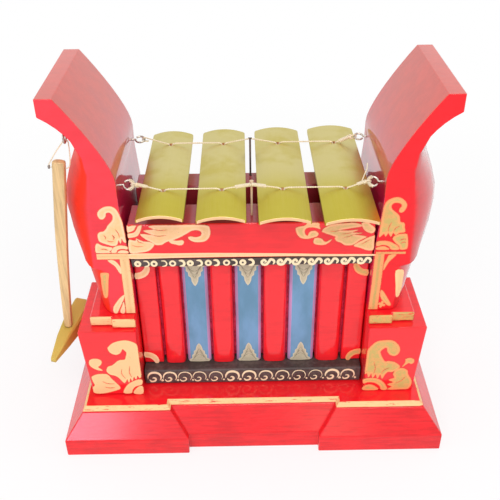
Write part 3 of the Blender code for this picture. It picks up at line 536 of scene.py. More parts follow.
LEAVES = {
    "left_block": (
        ((0, 16.4), (0, 20.9), (-0.1, 31.1), (-0.1, 38.8), (-0.4, 43.7), (-2.4, 45.9), (-6.7, 47.6), (-11.2, 47.2),
         (-15.4, 45.6), (-18.6, 42.5), (-19.2, 40.8), (-18, 37.5), (-14.9, 35.8), (-12.3, 36.6), (-10.9, 38.5),
         (-9.8, 40.6), (-8.4, 39), (-7.5, 37.3), (-8.3, 34), (-9.4, 31.3), (-13, 30.8), (-15.7, 28.6), (-18, 26.4),
         (-20.7, 25.4), (-22, 23.1), (-22, 20.9), (-20.2, 18.5), (-17, 17.3), (-14.7, 15.2), (-11.6, 10.6),
         (-9.4, 14.2), (-8.6, 10.8), (-7.2, 15), (-6.2, 12.2), (-4.8, 16.2), (-3.6, 13.6), (-2.4, 17.2), (-1.2, 14.9)),
        ((-32.2, 17.1), (-28.6, 18.7), (-23.5, 18.9), (-21.2, 17.4), (-19.8, 14.5), (-17.3, 10.9), (-14.8, 6.2),
         (-18, 3.9), (-26.5, 1.4), (-32.4, 1.9), (-33.1, 4.8), (-33, 7.2), (-31.5, 8.9), (-32.3, 12.5), (-32.8, 15.4)),
        ((-0.2, 13.5), (-5.7, 11.9), (-10.4, 7.9), (-13.1, 1.7), (-8.0, 1.2), (-6.8, 4.4), (-4.4, 7.4), (-0.2, 9.1)),
        ((-0.2, 7.6), (-4.2, 5.4), (-6.3, 1), (-0.2, 0.6)),
        ((-32.8, 29.6), (-31.5, 31.8), (-28.1, 32.5), (-25.3, 31.4), (-24.6, 29.1), (-25.9, 26.6), (-27.4, 25.2),
         (-24.8, 22.3), (-27.6, 22.5), (-30.4, 24.2), (-32.4, 26.6)),
    ),
    "right_block": (
        ((0.3, 15.4), (0.4, 22.8), (0.5, 31.3), (0.8, 36.3), (3, 40.1), (6.1, 43.3), (10.9, 44.2), (15.9, 43.9),
         (19.5, 40.8), (21.3, 36.9), (20.9, 33.1), (18.4, 30.9), (15.4, 32.1), (13.5, 34.9), (13, 37.7), (11.5, 38),
         (9.2, 35.5), (9, 33.3), (10.6, 29.4), (12.6, 26), (15.1, 26.2), (19, 25.3), (22.3, 22.4), (22.9, 20.6),
         (21, 18.4), (18.2, 16.7), (15.6, 16.8), (13.7, 14.5), (12.2, 10.7), (10.6, 14.6), (9, 10.8), (7.6, 14.9),
         (5.8, 11.4), (4.6, 15.6), (3, 12.2), (1.8, 16)),
        ((19.2, 15), (21.4, 19), (25.1, 19.7), (28.3, 17.7), (29.1, 14.2), (31.8, 9.4), (32.3, 5.3), (30.6, 1.2),
         (27.2, 0.7), (16.9, 0.6), (19.6, 3.2), (16.4, 5.2), (20.2, 7.2), (16.9, 9.4), (20.4, 11.2)),
        ((0.2, 10.7), (8.1, 10.9), (13.6, 6.9), (16.4, 0.9), (12.6, 0.7), (11.3, 4), (7.6, 7.1), (2.8, 7.7),
         (0.2, 6.6)),
        ((0.2, 0.6), (0.9, 4.2), (4.7, 5.3), (8.3, 3.5), (10, 0.6)),
        ((26.3, 27.9), (29.1, 28.7), (31.6, 27.3), (31.7, 25), (30.1, 23.6), (28.2, 24.4), (24.6, 21), (26.2, 24.6)),
    ),
    "left_wing": (
        ((-10.5, 74.3), (-11, 72.2), (-12.7, 70.5), (-14.4, 70.8), (-15.4, 72.9), (-15.1, 75.2), (-13.4, 77.2),
         (-10.9, 78.6), (-8.2, 79), (-5.8, 78.3), (-4, 76.2), (-2.9, 73), (-1.9, 69.2), (-1.5, 65.6), (-1.2, 61.4),
         (-1, 57.2), (-1, 54), (-2.4, 54.8), (-3.2, 56.9), (-4.1, 53.3), (-5.2, 55.8), (-6.4, 52.5), (-9, 51.8),
         (-11.5, 52.6), (-13.5, 53.4), (-16.4, 55), (-17.1, 57.4), (-16.9, 60.2), (-15.3, 61.6), (-13.5, 61.9),
         (-11.8, 63.4), (-10.5, 65.8), (-8.7, 67.8), (-7.2, 69.8), (-6.7, 72.5), (-7.5, 74.2), (-8.9, 75.1)),
        ((-19.8, 48.9), (-19.3, 52), (-18.1, 53.6), (-15.7, 52.2), (-12.7, 51.2), (-9.5, 50.4), (-10.3, 48.7),
         (-11.6, 47.8), (-10.7, 46.9), (-13.8, 46.8), (-18.9, 46.8), (-19.6, 47.4)),
        ((-10.4, 47), (-9.6, 49.3), (-8.1, 51), (-5.4, 51.8), (-2.9, 51.8), (-0.6, 51), (-0.6, 49.2), (-3.1, 49.6),
         (-5.2, 49.4), (-6.8, 48.5), (-7.5, 46.9)),
        ((-6.5, 46.7), (-5.6, 47.9), (-3.8, 48.5), (-0.7, 47.9), (-0.6, 46.5)),
    ),
    "right_wing": (
        ((12.1, 73), (12.4, 74.7), (13.5, 76.2), (12.8, 77.9), (10.7, 78.8), (8.5, 78.6), (7.2, 76.8), (7.6, 74.8),
         (9.6, 72.7), (11.5, 71), (12.7, 69.2), (13.2, 66.8), (13.9, 65.3), (15.6, 65), (16.4, 63.6), (16.4, 61.8),
         (17.2, 59.3), (16.2, 58.3), (13.9, 58.1), (12, 56.5), (10.1, 58.1), (9, 55.5), (7.3, 58.1), (5.9, 55.7),
         (4.7, 57.6), (2.2, 55.2), (2.1, 59.2), (2.2, 62.8), (2.4, 67.6), (2.7, 72.9), (3.2, 76.9), (4.6, 79.8),
         (6.9, 81.4), (9.8, 82.3), (12.4, 81.6), (14.6, 79.9), (16.1, 77.6), (15.9, 75), (14.6, 72.7), (13.2, 72.2)),
        ((10.2, 54.2), (12.6, 56.5), (15.8, 57.2), (18.2, 57), (18.9, 55.6), (19.4, 53.4), (19.7, 50.6), (19.8, 47.8),
         (19, 46.3), (15.7, 46.2), (14.9, 48.6), (12.6, 50.8)),
        ((1.2, 51.9), (5.2, 52.4), (8.4, 51.8), (11.1, 50.5), (13.9, 48.6), (14.7, 46.2), (10.5, 46.1), (9, 48),
         (7.1, 49.3), (4.5, 49.7), (1.2, 48.9)),
        ((1.2, 46.3), (1.8, 47.8), (5.1, 48.5), (7.2, 47.8), (8.7, 46.2)),
    ),
    "left_rail": (
        ((0.3, 24.3), (1.1, 23.7), (3.1, 24.2), (5.5, 24.4), (5, 23), (3.8, 21.1), (1.2, 19.9), (0.3, 20)),
        ((0.3, 18.8), (1.1, 18.9), (3.7, 19.3), (5.4, 21.1), (6.6, 23.4), (7.7, 24.3), (9, 24.2), (8.2, 21.6),
         (7.2, 19.2), (5.7, 17.1), (3.4, 16.3), (0.8, 16), (0.3, 16.2)),
        ((0.3, 13.9), (2.1, 14.2), (4.4, 13.8), (5.1, 15.3), (6.7, 14.3), (9.2, 13.1), (12.2, 12.8), (15.2, 11.2),
         (14, 8.7), (11.2, 6.3), (6.4, 5.4), (0.3, 5.3)),
        ((47.6, 23.6), (42, 24.2), (36, 24.3), (28.4, 24.2), (20.8, 24.3), (15.3, 24.2), (13, 23.3), (15.8, 21.5),
         (9.6, 20.7), (14.8, 17.6), (7.6, 18.5), (10.4, 14.9), (13.8, 12.7), (16.2, 10.7), (19.8, 10.8), (22.5, 12.6),
         (25.1, 13.4), (28.3, 14.6), (31.9, 16.4), (35.1, 18.4), (38.3, 20.4), (41.3, 20.7), (43.3, 19.8),
         (43.9, 18), (42.7, 16.2), (40.1, 15.6), (37.5, 16.2), (35.9, 15.7), (36.4, 14.2), (38.9, 12.6),
         (42.5, 12.2), (46.1, 13.1), (48.2, 15.5), (49, 18.5), (48.8, 21.4)),
        ((24.1, 13.5), (25.7, 14.1), (27.7, 13.4), (30.2, 13.4), (32.3, 13.6), (33, 12.4), (32.1, 10.6), (30, 10.2),
         (28, 10.9), (25.5, 11.6)),
    ),
    "right_rail": (
        ((-31.8, 18.7), (-29.8, 21.2), (-25.3, 23.2), (-18.2, 23.8), (-12.4, 24), (-8, 21.8), (-15, 20.4),
         (-21.1, 19.1), (-16, 18.7), (-10.4, 19.1), (-13.8, 17.4), (-7.6, 16.8), (-12.7, 16), (-5.1, 14.3),
         (-8.3, 12.2), (-12.2, 8.9), (-15.2, 8.3), (-17.9, 8.7), (-20, 10.3), (-22.7, 11.5), (-23.8, 13.4),
         (-23.3, 14.4), (-24.9, 15.3), (-28.1, 16.5), (-30.7, 17.7)),
        ((-8.6, 23.8), (-5, 24.2), (-2.9, 22.4), (-0.7, 20.4), (-0.4, 18.6), (-1.2, 17.1), (-2.5, 16.7), (-5.2, 17.9),
         (-7.1, 19.8)),
        ((-12.1, 8.3), (-9.7, 10.1), (-7.2, 11.6), (-4.3, 13.4), (-0.8, 14.8), (-0.3, 14.6), (-0.3, 10.5),
         (-0.3, 4.9), (-4.1, 4.7), (-7.8, 6.3), (-11, 7.3)),
        ((-40.4, 24.3), (-34.1, 24.3), (-33.5, 22.1), (-32.9, 20.2), (-34.9, 20.9), (-37.5, 21.5), (-40, 21.3),
         (-41.5, 20.4), (-42.2, 18.6), (-41.4, 16.2), (-40.2, 15.5), (-39.4, 17.3), (-38.4, 18.5), (-35.9, 18.8),
         (-34, 17.2), (-34.2, 15.4), (-36.2, 14.5), (-37.7, 14), (-40.3, 13.4), (-43.4, 13.8), (-45.7, 15.6),
         (-47.1, 18.7), (-47.2, 21.1), (-45.1, 21.9), (-42.1, 22.6), (-41, 23.6)),
        ((-36.6, 11.2), (-35.9, 13.4), (-34.1, 13.9), (-31.5, 13.1), (-30.4, 11.5), (-28.8, 11), (-26.8, 12.2),
         (-25.7, 12.8), (-26.8, 11), (-29.3, 9.2), (-32.3, 8.9), (-35.5, 9.6)),
    ),
    "left_post": (
        ((-13.2, 41.4), (-9.7, 41.2), (-7.4, 38.6), (-5.9, 35.3), (-6.1, 31.1), (-7.5, 32.8), (-9.2, 36.7),
         (-12, 39.6)),
        ((-5.9, 14.9), (-8.6, 12.9), (-11.2, 9.5), (-13.4, 6.1), (-14.2, 3.4), (-13.9, 1), (-12.9, 0.4), (-11.8, 0.8),
         (-10.6, 3.3), (-8.7, 7.4), (-6.8, 11.5)),
        ((-7.1, 9.4), (-8.3, 6), (-9.7, 2.6), (-9.5, 0.6), (-7.3, 0.5), (-6.7, 3.9), (-6.7, 7.4)),
    ),
    "right_post": (
        ((9.6, 42.2), (13.6, 42.4), (11.7, 39.8), (9.4, 36.7), (7.8, 32.8), (6.9, 30.9), (7, 35.4), (8.3, 39.2)),
        ((7.1, 15.6), (8.9, 13.6), (11.6, 8.8), (13.9, 4.6), (13.6, 3.2), (12.1, 3.6), (9.7, 6), (7.4, 9.5), (6.7, 13)),
        ((7.6, 5.6), (8.4, 7), (9.4, 6), (9, 4.6), (10.4, 4.2), (10.2, 2.9), (8.8, 3), (8, 1.6), (6.9, 2.4), (7.2, 3.8),
         (6, 4.2), (6.4, 5.5)),
    ),
}

STRIPES = {
    "left_wing": (((-19.6, 44.1), (-10, 44.1), (-0.4, 44), 3.8), ((-3.2, 42.2), (-3.1, 20), (-3.3, 0.4), 5.5)),
    "right_wing": (((1.2, 43.8), (10, 43.7), (19.2, 43.6), 1.2), ((3.6, 43), (3.4, 20), (3, 0.4), 5.4)),
}

VEIN_SWELL = 1.3  # how much wider a vein is painted than its width below
VEINS = {
    "left_block": (
        ((-18.4, 6.6), (-22, 6.3), (-25.2, 7.4), 0.5),
        ((-18.2, 10), (-22.6, 10.3), (-26.2, 12.4), 0.45),
        ((-6.2, 15.5), (-7.4, 20), (-6.6, 26), 0.4),
        ((-10.4, 14.5), (-12.6, 19), (-12, 23.5), 0.4),
    ),
    "right_block": (
        ((6.2, 15.6), (6.8, 20), (5.6, 26), 0.4),
        ((11.2, 15.2), (13, 18.6), (16.5, 20.6), 0.45),
        ((21.5, 6.5), (25, 8.4), (27.5, 12), 0.45),
    ),
    "left_wing": (
        ((-8.6, 59.6), (-7.6, 57.8), (-8.2, 56.2), 0.6),
        ((-13.6, 59.4), (-12.6, 58), (-12.9, 56.6), 0.4),
        ((-12, 55.6), (-10.2, 54.8), (-8, 55), 0.4),
        ((-4.4, 57.5), (-4.8, 60.5), (-6.4, 63.5), 0.35),
        ((-16.6, 49.6), (-14, 49.4), (-12.2, 48.6), 0.5),
    ),
    "right_wing": (
        ((7.2, 58.8), (7.2, 62), (8.6, 65.6), 0.35),
        ((10.2, 59), (11.4, 61.4), (13.6, 62.8), 0.35),
        ((14.6, 52.6), (16.8, 53.6), (18.4, 53.4), 0.55),
        ((15.4, 50.6), (17.2, 51.4), (18.6, 51), 0.5),
    ),
    "left_rail": (
        ((15.8, 21.5), (19.5, 20.8), (24, 21.2), 0.35),
        ((14.8, 17.6), (18.6, 16.8), (23, 17.4), 0.35),
        ((5.2, 14.8), (6.4, 12.8), (9, 12), 0.4),
        ((2, 10.6), (5.2, 9.6), (8.6, 9.8), 0.35),
    ),
    "right_rail": (
        ((-21, 19.1), (-24, 18.4), (-27, 18.6), 0.3),
        ((-13.8, 17.4), (-17, 16.6), (-20, 16.4), 0.3),
        ((-12.7, 16), (-15.6, 14.6), (-18.6, 14), 0.3),
        ((-2.6, 12.2), (-5.4, 10.4), (-7.8, 8.8), 0.35),
    ),
}

SLAT_TOP_LEAF = (
    (-6.6, 0), (-6.5, -2.4), (-5.2, -3.1), (-5.4, -5.6), (-4, -6.8), (-4, -9.4), (-2.4, -10.8), (-2.1, -13.6),
    (0, -17.6),
)
SLAT_FOOT_LEAF = (
    (-6.4, 0), (-6.2, 2.2), (-5, 3), (-5.1, 5.4), (-3.8, 6.6), (-3.7, 9), (-2.4, 10.2), (-1.9, 12.8), (0, 16),
)
SLAT_VEINS = ((-5.2, 0.6), (-2.6, 4.6), (0, 6.4)), ((-4, 2.6), (-2, 6.6), (0, 9)), ((-2.6, 6), (-1.2, 9), (0, 11.6))
SLAT_TOP = 126.6 * MM
PANEL_CURL = ((0, 9.4), (4.4, 8.8), (8, 6.2), (9.6, 2), (8.8, -0.6), (6.8, -0.4), (5.6, 2.2), (3, 4.4), (0, 5))
PANEL_TOP = 125.2 * MM
INSET = 0.3 * MM  # from a slat's or panel's edge to its paint
BAND_RINGS = (-69.4, -59.5, -48.2, -37.5, -26.5, -15.4, -5.5)
BAND_COMMAS = (-64.2, 0.9), (-53.4, 0.8), (-42.7, 1.5), (-32, 1.3), (-21.8, 1.5), (-10.8, 1.2), (-0.6, 1.6)
BAND_SCROLLS = (9.9, 19.8, 28.9, 38.7, 48.6, 58.8, 68.6)
SCROLL = ((-2.3, -0.5), (-1.3, 0.5), (-2.5, 1.5), (-3.9, 0.3), (-3.2, -1.6), (-1, -1.7), (0.4, 0.2), (1.4, 1.8),
          (3, 1.5), (3.8, 0), (2.9, -1.8))
COMMA = ((-1.7, 2), (0.5, 1.8), (1.6, 0.2), (1, -1.5), (-1.4, -2))
BAR_LEVEL = 6.3 * MM  # from the foot of the lower bar to the middle of its motifs
BAR_MOTIFS = ((-66.8, 1.6), (-56.3, 1.25), (-46.1, 0.7), (-36.2, 0.75), (-25, 0.7), (-13.8, 1.7), (-2.4, 1.5),
              (8.9, 1.1), (20.2, 0.9), (31.5, 0.6), (42.8, 0.55), (54.1, 1.7), (64.7, 1.2))
BAR_ARCH = ((-4.6, -1.6), (-4.4, 1), (-2.6, 3.6), (0.6, 4.2), (3.4, 2.8), (4.4, -0.4), (3.4, -3))
BAR_CURL = ((-3.6, -2.2), (-2.2, -3.9), (0, -3.4), (0.8, -1.8), (-0.2, -0.6), (-1.6, -0.9))
FLARE_PATCH = {
    "left": ((-19.2, 30.4), (-14, 31.5), (-14.6, 26.5), (-15.7, 18.5), (-16.9, 12.6), (-19.7, 10.6), (-20.1, 19.5),
             (-19.8, 25.3)),
    "right": ((14.7, 30), (20.2, 28.5), (20.9, 19.8), (21, 12), (19.3, 7.8), (17, 9.7), (15.8, 18.9)),
}
RAIL_LINE = ((0.3, 0.8), (25, 1), (50, 1.2), (94, 1.1), (120, 0.5), (146.6, 0.4), (146.6, 1.5), (120, 2.1), (94, 3.1),
             (50, 4.2), (25, 4.3), (0.3, 4.4))

PAINT = 0.14 * MM  # how far a painted leaf stands off the wood
SUNK = 0.25 * MM  # how far it reaches into the wood
LEAF_STEP = 0.012 * MM  # how much higher each leaf lies than the one before it
LINE_STEP = 0.004 * MM  # the same of their dark lines
LINE = 0.62 * MM  # width of the dark line under a leaf's edge
RIM = 1.9 * MM  # how far into a leaf its pale rim fades
UNSET = -1.0  # rim value of a point that is still to be measured
BORDER_POINTS = 10  # measured from on each side of a leaf's outline
THINNEST = 0.12  # share of a stroke's width left at its ends


def flat(outline, foot, mirror=1):
    """Outline points in metres on the plane of the front."""
    return [Vector((foot[0] + mirror * x * MM, 0, foot[1] + z * MM)) for x, z in outline]


def new_sheet():
    sheet = bmesh.new()
    sheet.verts.layers.float.new("rim")
    return sheet


def add_leaf(sheet, outline, lift=PAINT, rim=RIM, steps=3, fineness=0.7 * MM, material=0):
    """A closed outline filled with paint, whose rim value falls from 1 at its edge to 0 inside."""
    tone = sheet.verts.layers.float["rim"]
    edge = spline(outline, steps, closed=True)
    corners = [sheet.verts.new(point) for point in edge]
    for corner in corners:
        corner[tone] = UNSET
    ring = [sheet.edges.new(pair) for pair in zip(corners, corners[1:] + corners[:1])]
    whole = bmesh.ops.contextual_create(sheet, geom=ring)["faces"]
    faces = bmesh.ops.triangulate(sheet, faces=whole)["faces"]
    while lines := [line for face in faces for line in face.edges if line.calc_length() > 1.5 * fineness]:
        bmesh.ops.subdivide_edges(sheet, edges=list(dict.fromkeys(lines)), cuts=1, use_grid_fill=True)
        bmesh.ops.triangulate(sheet, faces=[face for face in sheet.faces if len(face.verts) > 3])
        faces = [face for face in sheet.faces if all(vert[tone] == UNSET for vert in face.verts)]
    for face in faces:
        face.material_index = material
    border = KDTree(BORDER_POINTS * len(edge))
    for index, (a, b) in enumerate(zip(edge, edge[1:] + edge[:1])):
        for k in range(BORDER_POINTS):
            border.insert(a.lerp(b, k / BORDER_POINTS), BORDER_POINTS * index + k)
    border.balance()
    for vert in sheet.verts:
        if vert[tone] == UNSET:
            vert[tone] = max(0.0, 1 - border.find(vert.co)[2] / rim)
            vert.co.y = -lift


def add_stroke(sheet, path, width, lift=PAINT, taper=0.3, tone=0.6, material=0):
    """A brush stroke: an edge across the path, extruded along it and drawn in towards both ends."""
    layer = sheet.verts.layers.float["rim"]
    stations = along(path)
    row = edges = None
    for distance, point, ahead in stations:
        share = distance / stations[-1][0]
        swell = min(1, share / taper, (1 - share) / taper) ** 0.5 if taper else 1
        across = Vector((-ahead.z, 0, ahead.x)) * width / 2 * max(THINNEST, swell)
        places = (point + across, point, point - across)
        if row:
            fresh = set(bmesh.ops.extrude_edge_only(sheet, edges=edges)["geom"])
            row = [next(e.other_vert(v) for e in v.link_edges if e.other_vert(v) in fresh) for v in row]
            for vert, place in zip(row, places):
                vert.co = place
                for face in vert.link_faces:
                    face.material_index = material
        else:
            row = [sheet.verts.new(place) for place in places]
        edges = [sheet.edges.get(pair) or sheet.edges.new(pair) for pair in zip(row, row[1:])]
        for vert, value in zip(row, (1.0, tone, 1.0)):
            vert[layer] = value
            vert.co.y = -lift


def add_outlined(sheet, outline, index):
    """A leaf with its dark line; index keeps leaves that overlap at heights of their own."""
    add_leaf(sheet, outline, PAINT + LEAF_STEP * index)
    border = spline(outline, 3, closed=True)
    add_stroke(sheet, border + border[:2], LINE, PAINT / 2 + LINE_STEP * index, taper=0, material=1)


def add_dot(sheet, x, z, radius, lift=PAINT, material=0):
    turns = [math.tau * k / 8 for k in range(8)]
    ring = [Vector((x + radius * math.cos(turn), 0, z + radius * math.sin(turn))) for turn in turns]
    add_leaf(sheet, ring, lift, radius, steps=2, fineness=0.9 * MM, material=material)


def lay(name, sheet, y, finish, onto=None):
    """Sets a sheet of paint on the plane at y, or on the surface of another piece, and gives it its thickness."""
    if onto:
        surface = BVHTree.FromObject(onto, bpy.context.evaluated_depsgraph_get())
        for vert in sheet.verts:
            hit = surface.ray_cast(Vector((vert.co.x, -1, vert.co.z)), Vector((0, 1, 0)))[0]
            vert.co.y += hit.y if hit else y
    else:
        bmesh.ops.translate(sheet, verts=sheet.verts, vec=(0, y, 0))
    back = bmesh.ops.extrude_face_region(sheet, geom=sheet.faces[:], use_keep_orig=True)["geom"]
    inner = [item for item in back if isinstance(item, bmesh.types.BMVert)]
    bmesh.ops.translate(sheet, verts=inner, vec=(0, PAINT + SUNK, 0))
    bmesh.ops.recalc_face_normals(sheet, faces=sheet.faces)
    add_piece(name, sheet, finish, "case")


# Settings


def size(name, description, default, **more):
    return FloatProperty(name=name, description=description, default=default, unit="LENGTH", **more)


def colour(name, description, default):
    return FloatVectorProperty(
        name=name, description=description, default=default, subtype="COLOR", size=3, min=0, max=1
    )


class CaseSettings(PropertyGroup):
    red: colour("Red", "Enamel of the case, the wings and the base", (0.87, 0.012, 0.019))
    # painted shade: this darker red stands for the shade on the rails' tops and inside the case, under the keys
    dark_red: colour("Dark red", "Enamel inside the case and on top of the rails", (0.42, 0.035, 0.05))
    stain: colour("Stain", "Stained wood behind the grille", (0.85, 0.05, 0.14))
    black: colour("Black", "Paint of the two bands of the front", (0.05, 0.036, 0.032))
    blue: colour("Blue", "Paint of the slats", (0.12, 0.29, 0.46))
    mauve: colour("Mauve", "Chamfers of the slats", (0.42, 0.29, 0.52))
    edge: size("Edge", "Rounding of the sawn edges", 0.5 * MM, min=0.0)


class OrnamentSettings(PropertyGroup):
    peach: colour("Peach", "Rims of the left leaves", (0.96, 0.63, 0.36))
    pale: colour("Pale gold", "Leaves of the left block and the worn edges", (0.95, 0.61, 0.29))
    deep: colour("Deep gold", "Inside of the left leaves", (0.86, 0.55, 0.25))
    amber: colour("Amber", "Rims of the right leaves", (0.90, 0.38, 0.14))
    olive: colour("Olive gold", "Inside of the right leaves", (0.56, 0.43, 0.13))
    sand: colour("Sand gold", "Inside of the front rail's right leaves", (0.68, 0.47, 0.18))
    line: colour("Line", "Thin line round the painted leaves", (0.50, 0.11, 0.05))
    silver: colour("Silver gold", "Leaves of the slats", (0.62, 0.56, 0.38))
    cream: colour("Cream", "Strokes of the black bands", (0.86, 0.75, 0.47))


class MetalSettings(PropertyGroup):
    brass: colour("Brass", "Keys", (0.60, 0.52, 0.21))
    # worn: the yellower colour of the keys' front part
    worn: colour("Worn brass", "Front of the keys, where they are struck", (0.50, 0.42, 0.02))
    # painted highlight: the sawn ends take a paler peach for the light they catch from the front
    cut: colour("Cut brass", "Sawn ends of the keys", (0.95, 0.60, 0.33))
    wire: colour("Wire", "Screw eyes and hook", (0.55, 0.50, 0.44))
    nail: colour("Nail", "The nail behind", (0.12, 0.09, 0.08))
    edge: size("Edge", "Rounding of the keys' edges", 0.3 * MM, min=0.0)


class CordSettings(PropertyGroup):
    cord: colour("Cord", "Cords, windings and string", (0.97, 0.89, 0.66))
    ply: size("Ply", "Radius of each of the cord's two plies", 0.27 * MM, min=0.0)
    pitch: size("Twist", "Length of one turn of the plies", 2.8 * MM, min=0.0)


class MalletSettings(PropertyGroup):
    handle: colour("Handle", "Pale wood", (0.72, 0.52, 0.24))
    head: colour("Head", "Varnished wood", (0.62, 0.47, 0.11))
    knot: colour("Knot", "The string's soiled knot", (0.36, 0.33, 0.30))
    edge: size("Edge", "Rounding of the head's edges", 0.5 * MM, min=0.0)


class StageSettings(PropertyGroup):
    floor: colour("Floor", "Plain pale floor", (0.90, 0.90, 0.90))
    world_light: FloatProperty(name="World light", description="Soft light from all round", default=0.52, min=0.0)
    front_power: FloatProperty(name="Front box", description="Power of the front softbox", default=13.4, min=0.0)


GROUPS = {
    "metallophone_case": CaseSettings,
    "metallophone_ornament": OrnamentSettings,
    "metallophone_metal": MetalSettings,
    "metallophone_cord": CordSettings,
    "metallophone_mallet": MalletSettings,
    "metallophone_stage": StageSettings,
}

SIDES = ("left", -1), ("right", 1)  # with the sign of their x
KEYS = COLUMNS = range(1, 5)
SLATS = range(1, 4)
ALONG_Y = (math.pi / 2, 0, 0)  # lays the grain of a wood from front to back
PEG_WOOD = (0.7, 0.45, 0.2), (0.4, 0.24, 0.1)
PIN_WOOD = (0.72, 0.56, 0.38), (0.5, 0.34, 0.2)
GOLDS = {  # kinds of gold of the wing's, the block's and the rail's leaves, and of the patch on the flare, which is paler on the right as painted light and deeper on the left as painted shade
    "left": ("leaf", "block", "leaf", "right"),
    "right": ("right", "right", "sand", "block"),
}


def made(maker, name, *values, **more):
    """The finish of this name, mixed when it is first asked for."""
    return bpy.data.materials.get(name) or maker(name, *values, **more)


def red_of(context):
    return made(enamel, "red_enamel", context.scene.metallophone_case.red)


def horn_red_of(context, side):
    """Enamel of a horn: darker and glossier on its hollow side as painted shade, and on the right one's outer side too;
    on the left one a pinker front as a painted highlight and an orange, uncoated outer side as painted light.
    """
    red = context.scene.metallophone_case.red
    # painted shade: the hollow side and the tip take 0.7 of the red
    hollow = tinted(red, 0.7), 1.0
    front, outside = red, hollow
    # painted highlight on the left horn's pinker front, and painted light on its orange, uncoated outer side
    if side == "left":
        front = (0.96 * red[0], red[1] + 0.032, red[2] + 0.042)
        outside = (red[0], red[1] + 0.02, red[2] * 0.6), 0.0
    return made(enamel, side + "_horn_enamel", front, horn=(hollow, outside, side == "right"), coat_ior=1.85)


def gold_of(context, kind="leaf"):
    """The gold of a group of leaves, and the thin line round them."""
    chosen = context.scene.metallophone_ornament
    mixes = {
        "leaf": ("leaf_gold", chosen.peach, chosen.deep),
        "block": ("peach_gold", chosen.pale, tinted(chosen.pale, 0.94)),
        "right": ("olive_gold", chosen.amber, chosen.olive),
        "sand": ("sand_gold", halfway(chosen.amber, chosen.peach), chosen.sand),
    }
    return [made(gold_paint, *mixes[kind]), made(outline_paint, "leaf_outline", chosen.line)]


def worn_gold_of(context, side="left"):
    """The rubbed gold of an edge or a step."""
    chosen = context.scene.metallophone_ornament
    red = tinted(context.scene.metallophone_case.red, 0.8)
    if side == "left":
        return made(gold_paint, "worn_gold", chosen.pale, chosen.deep, red, 0.5)
    return made(gold_paint, "worn_olive", chosen.amber, chosen.olive, red, 1.8)


def post_gold_of(context, side):
    """The mottled gold of a wing's stripes."""
    chosen = context.scene.metallophone_ornament
    pale, deep = (chosen.pale, chosen.deep) if side == "left" else (chosen.amber, chosen.olive)
    return made(gold_paint, side + "_post_gold", tinted(pale, 0.92), tinted(deep, 0.86), mottling=1.8)


def cord_of(context):
    return made(cotton, "cream_cotton", context.scene.metallophone_cord.cord)


class Piece:
    """What every operator here shares."""

    bl_options = {"REGISTER", "UNDO"}


class METALLOPHONE_OT_base(Piece, Operator):
    """Enamels the plinth, and the deck with its gold edge"""

    bl_idname = "metallophone.base"
    bl_label = "Base"

    def execute(self, context):
        case = context.scene.metallophone_case
        brushed = made(enamel, "red_enamel_brushed", tinted(case.red, 0.94), 2.0, coat_roughness=0.16, coat_ior=1.38)
        dressed("base_plinth", brushed, case.edge * 1.4, least=20, segments=3)
        gilt = [red_of(context), worn_gold_of(context)]
        dressed("base_deck", gilt, case.edge * 0.6, least=20, sort=lambda normal: -0.5 < normal.z < 0.97)
        return {"FINISHED"}


class METALLOPHONE_OT_sides(Piece, Operator):
    """Enamels the wings, the blocks that carry them, and the steps with their gold fronts"""

    bl_idname = "metallophone.sides"
    bl_label = "Sides"

    def execute(self, context):
        edge = context.scene.metallophone_case.edge
        red = red_of(context)
        for side, _ in SIDES:
            # the horns' enamel carries painted shade, a painted highlight and painted light
            dressed(side + "_wing", horn_red_of(context, side), edge, least=50, smooth=48)
            dressed(side + "_front_block", red, edge * 1.3)
            dressed(side + "_back_block", red, edge * 1.3)
            gilt = [red, worn_gold_of(context, side)]
            dressed(side + "_step", gilt, edge, sort=lambda normal: normal.y < -0.6)
        return {"FINISHED"}


class METALLOPHONE_OT_case(Piece, Operator):
    """Enamels the rails and the boards between the wings, with a darker red as painted shade on all but the outer faces
    of the rails and the back board
    """

    bl_idname = "metallophone.case"
    bl_label = "Case"

    def execute(self, context):
        case = context.scene.metallophone_case
        finishes = [red_of(context), made(enamel, "dark_red_enamel", case.dark_red, coat_roughness=0.2)]
        # every face but the outer one takes the darker red as painted shade
        for node, inwards, least in (("front_rail", 1, 40), ("back_rail", -1, 40), ("back_board", -1, 25)):
            dressed(
                node, finishes, case.edge, sort=lambda normal: inwards * normal.y > -0.5, least=least
            )
        dressed("grille_backing", made(charcoal, "dark_stain", case.stain), case.edge)
        return {"FINISHED"}


def square_up(shape, start, end):
    """Turns a half-round column's section into a flatter one with rounded sides."""
    centre = (start.x + end.x) / 2
    reach = (end.x - start.x) / 2
    for vert in shape.verts:
        across = min(1.0, abs(vert.co.x - centre) / reach)
        if vert.co.y < end.y - 0.2 * MM:
            vert.co.y = end.y - (end.y - start.y) * max(0.0, 1 - across**4) ** 0.25


class METALLOPHONE_OT_grille(Piece, Operator):
    """Paints the columns, panels and slats and the two black bands"""

    bl_idname = "metallophone.grille"
    bl_label = "Grille"

    def execute(self, context):
        case = context.scene.metallophone_case
        red = red_of(context)
        for number in COLUMNS:
            dressed("column_%d" % number, red, case.edge * 0.6, smooth=50, least=60, reshape=square_up)
        for side, _ in SIDES:
            dressed(side + "_panel", red, case.edge)
        blue = [made(satin_blue, "satin_blue", case.blue), made(satin_blue, "mauve_chamfer", case.mauve)]
        for number in SLATS:
            slat = "slat_%d" % number
            dressed(slat, blue, case.edge * 0.6, sort=lambda normal: abs(normal.x) > 0.3)
        for band in ("upper_band", "lower_bar"):
            dressed(band, made(charcoal, "charcoal_paint", case.black), case.edge)
        return {"FINISHED"}


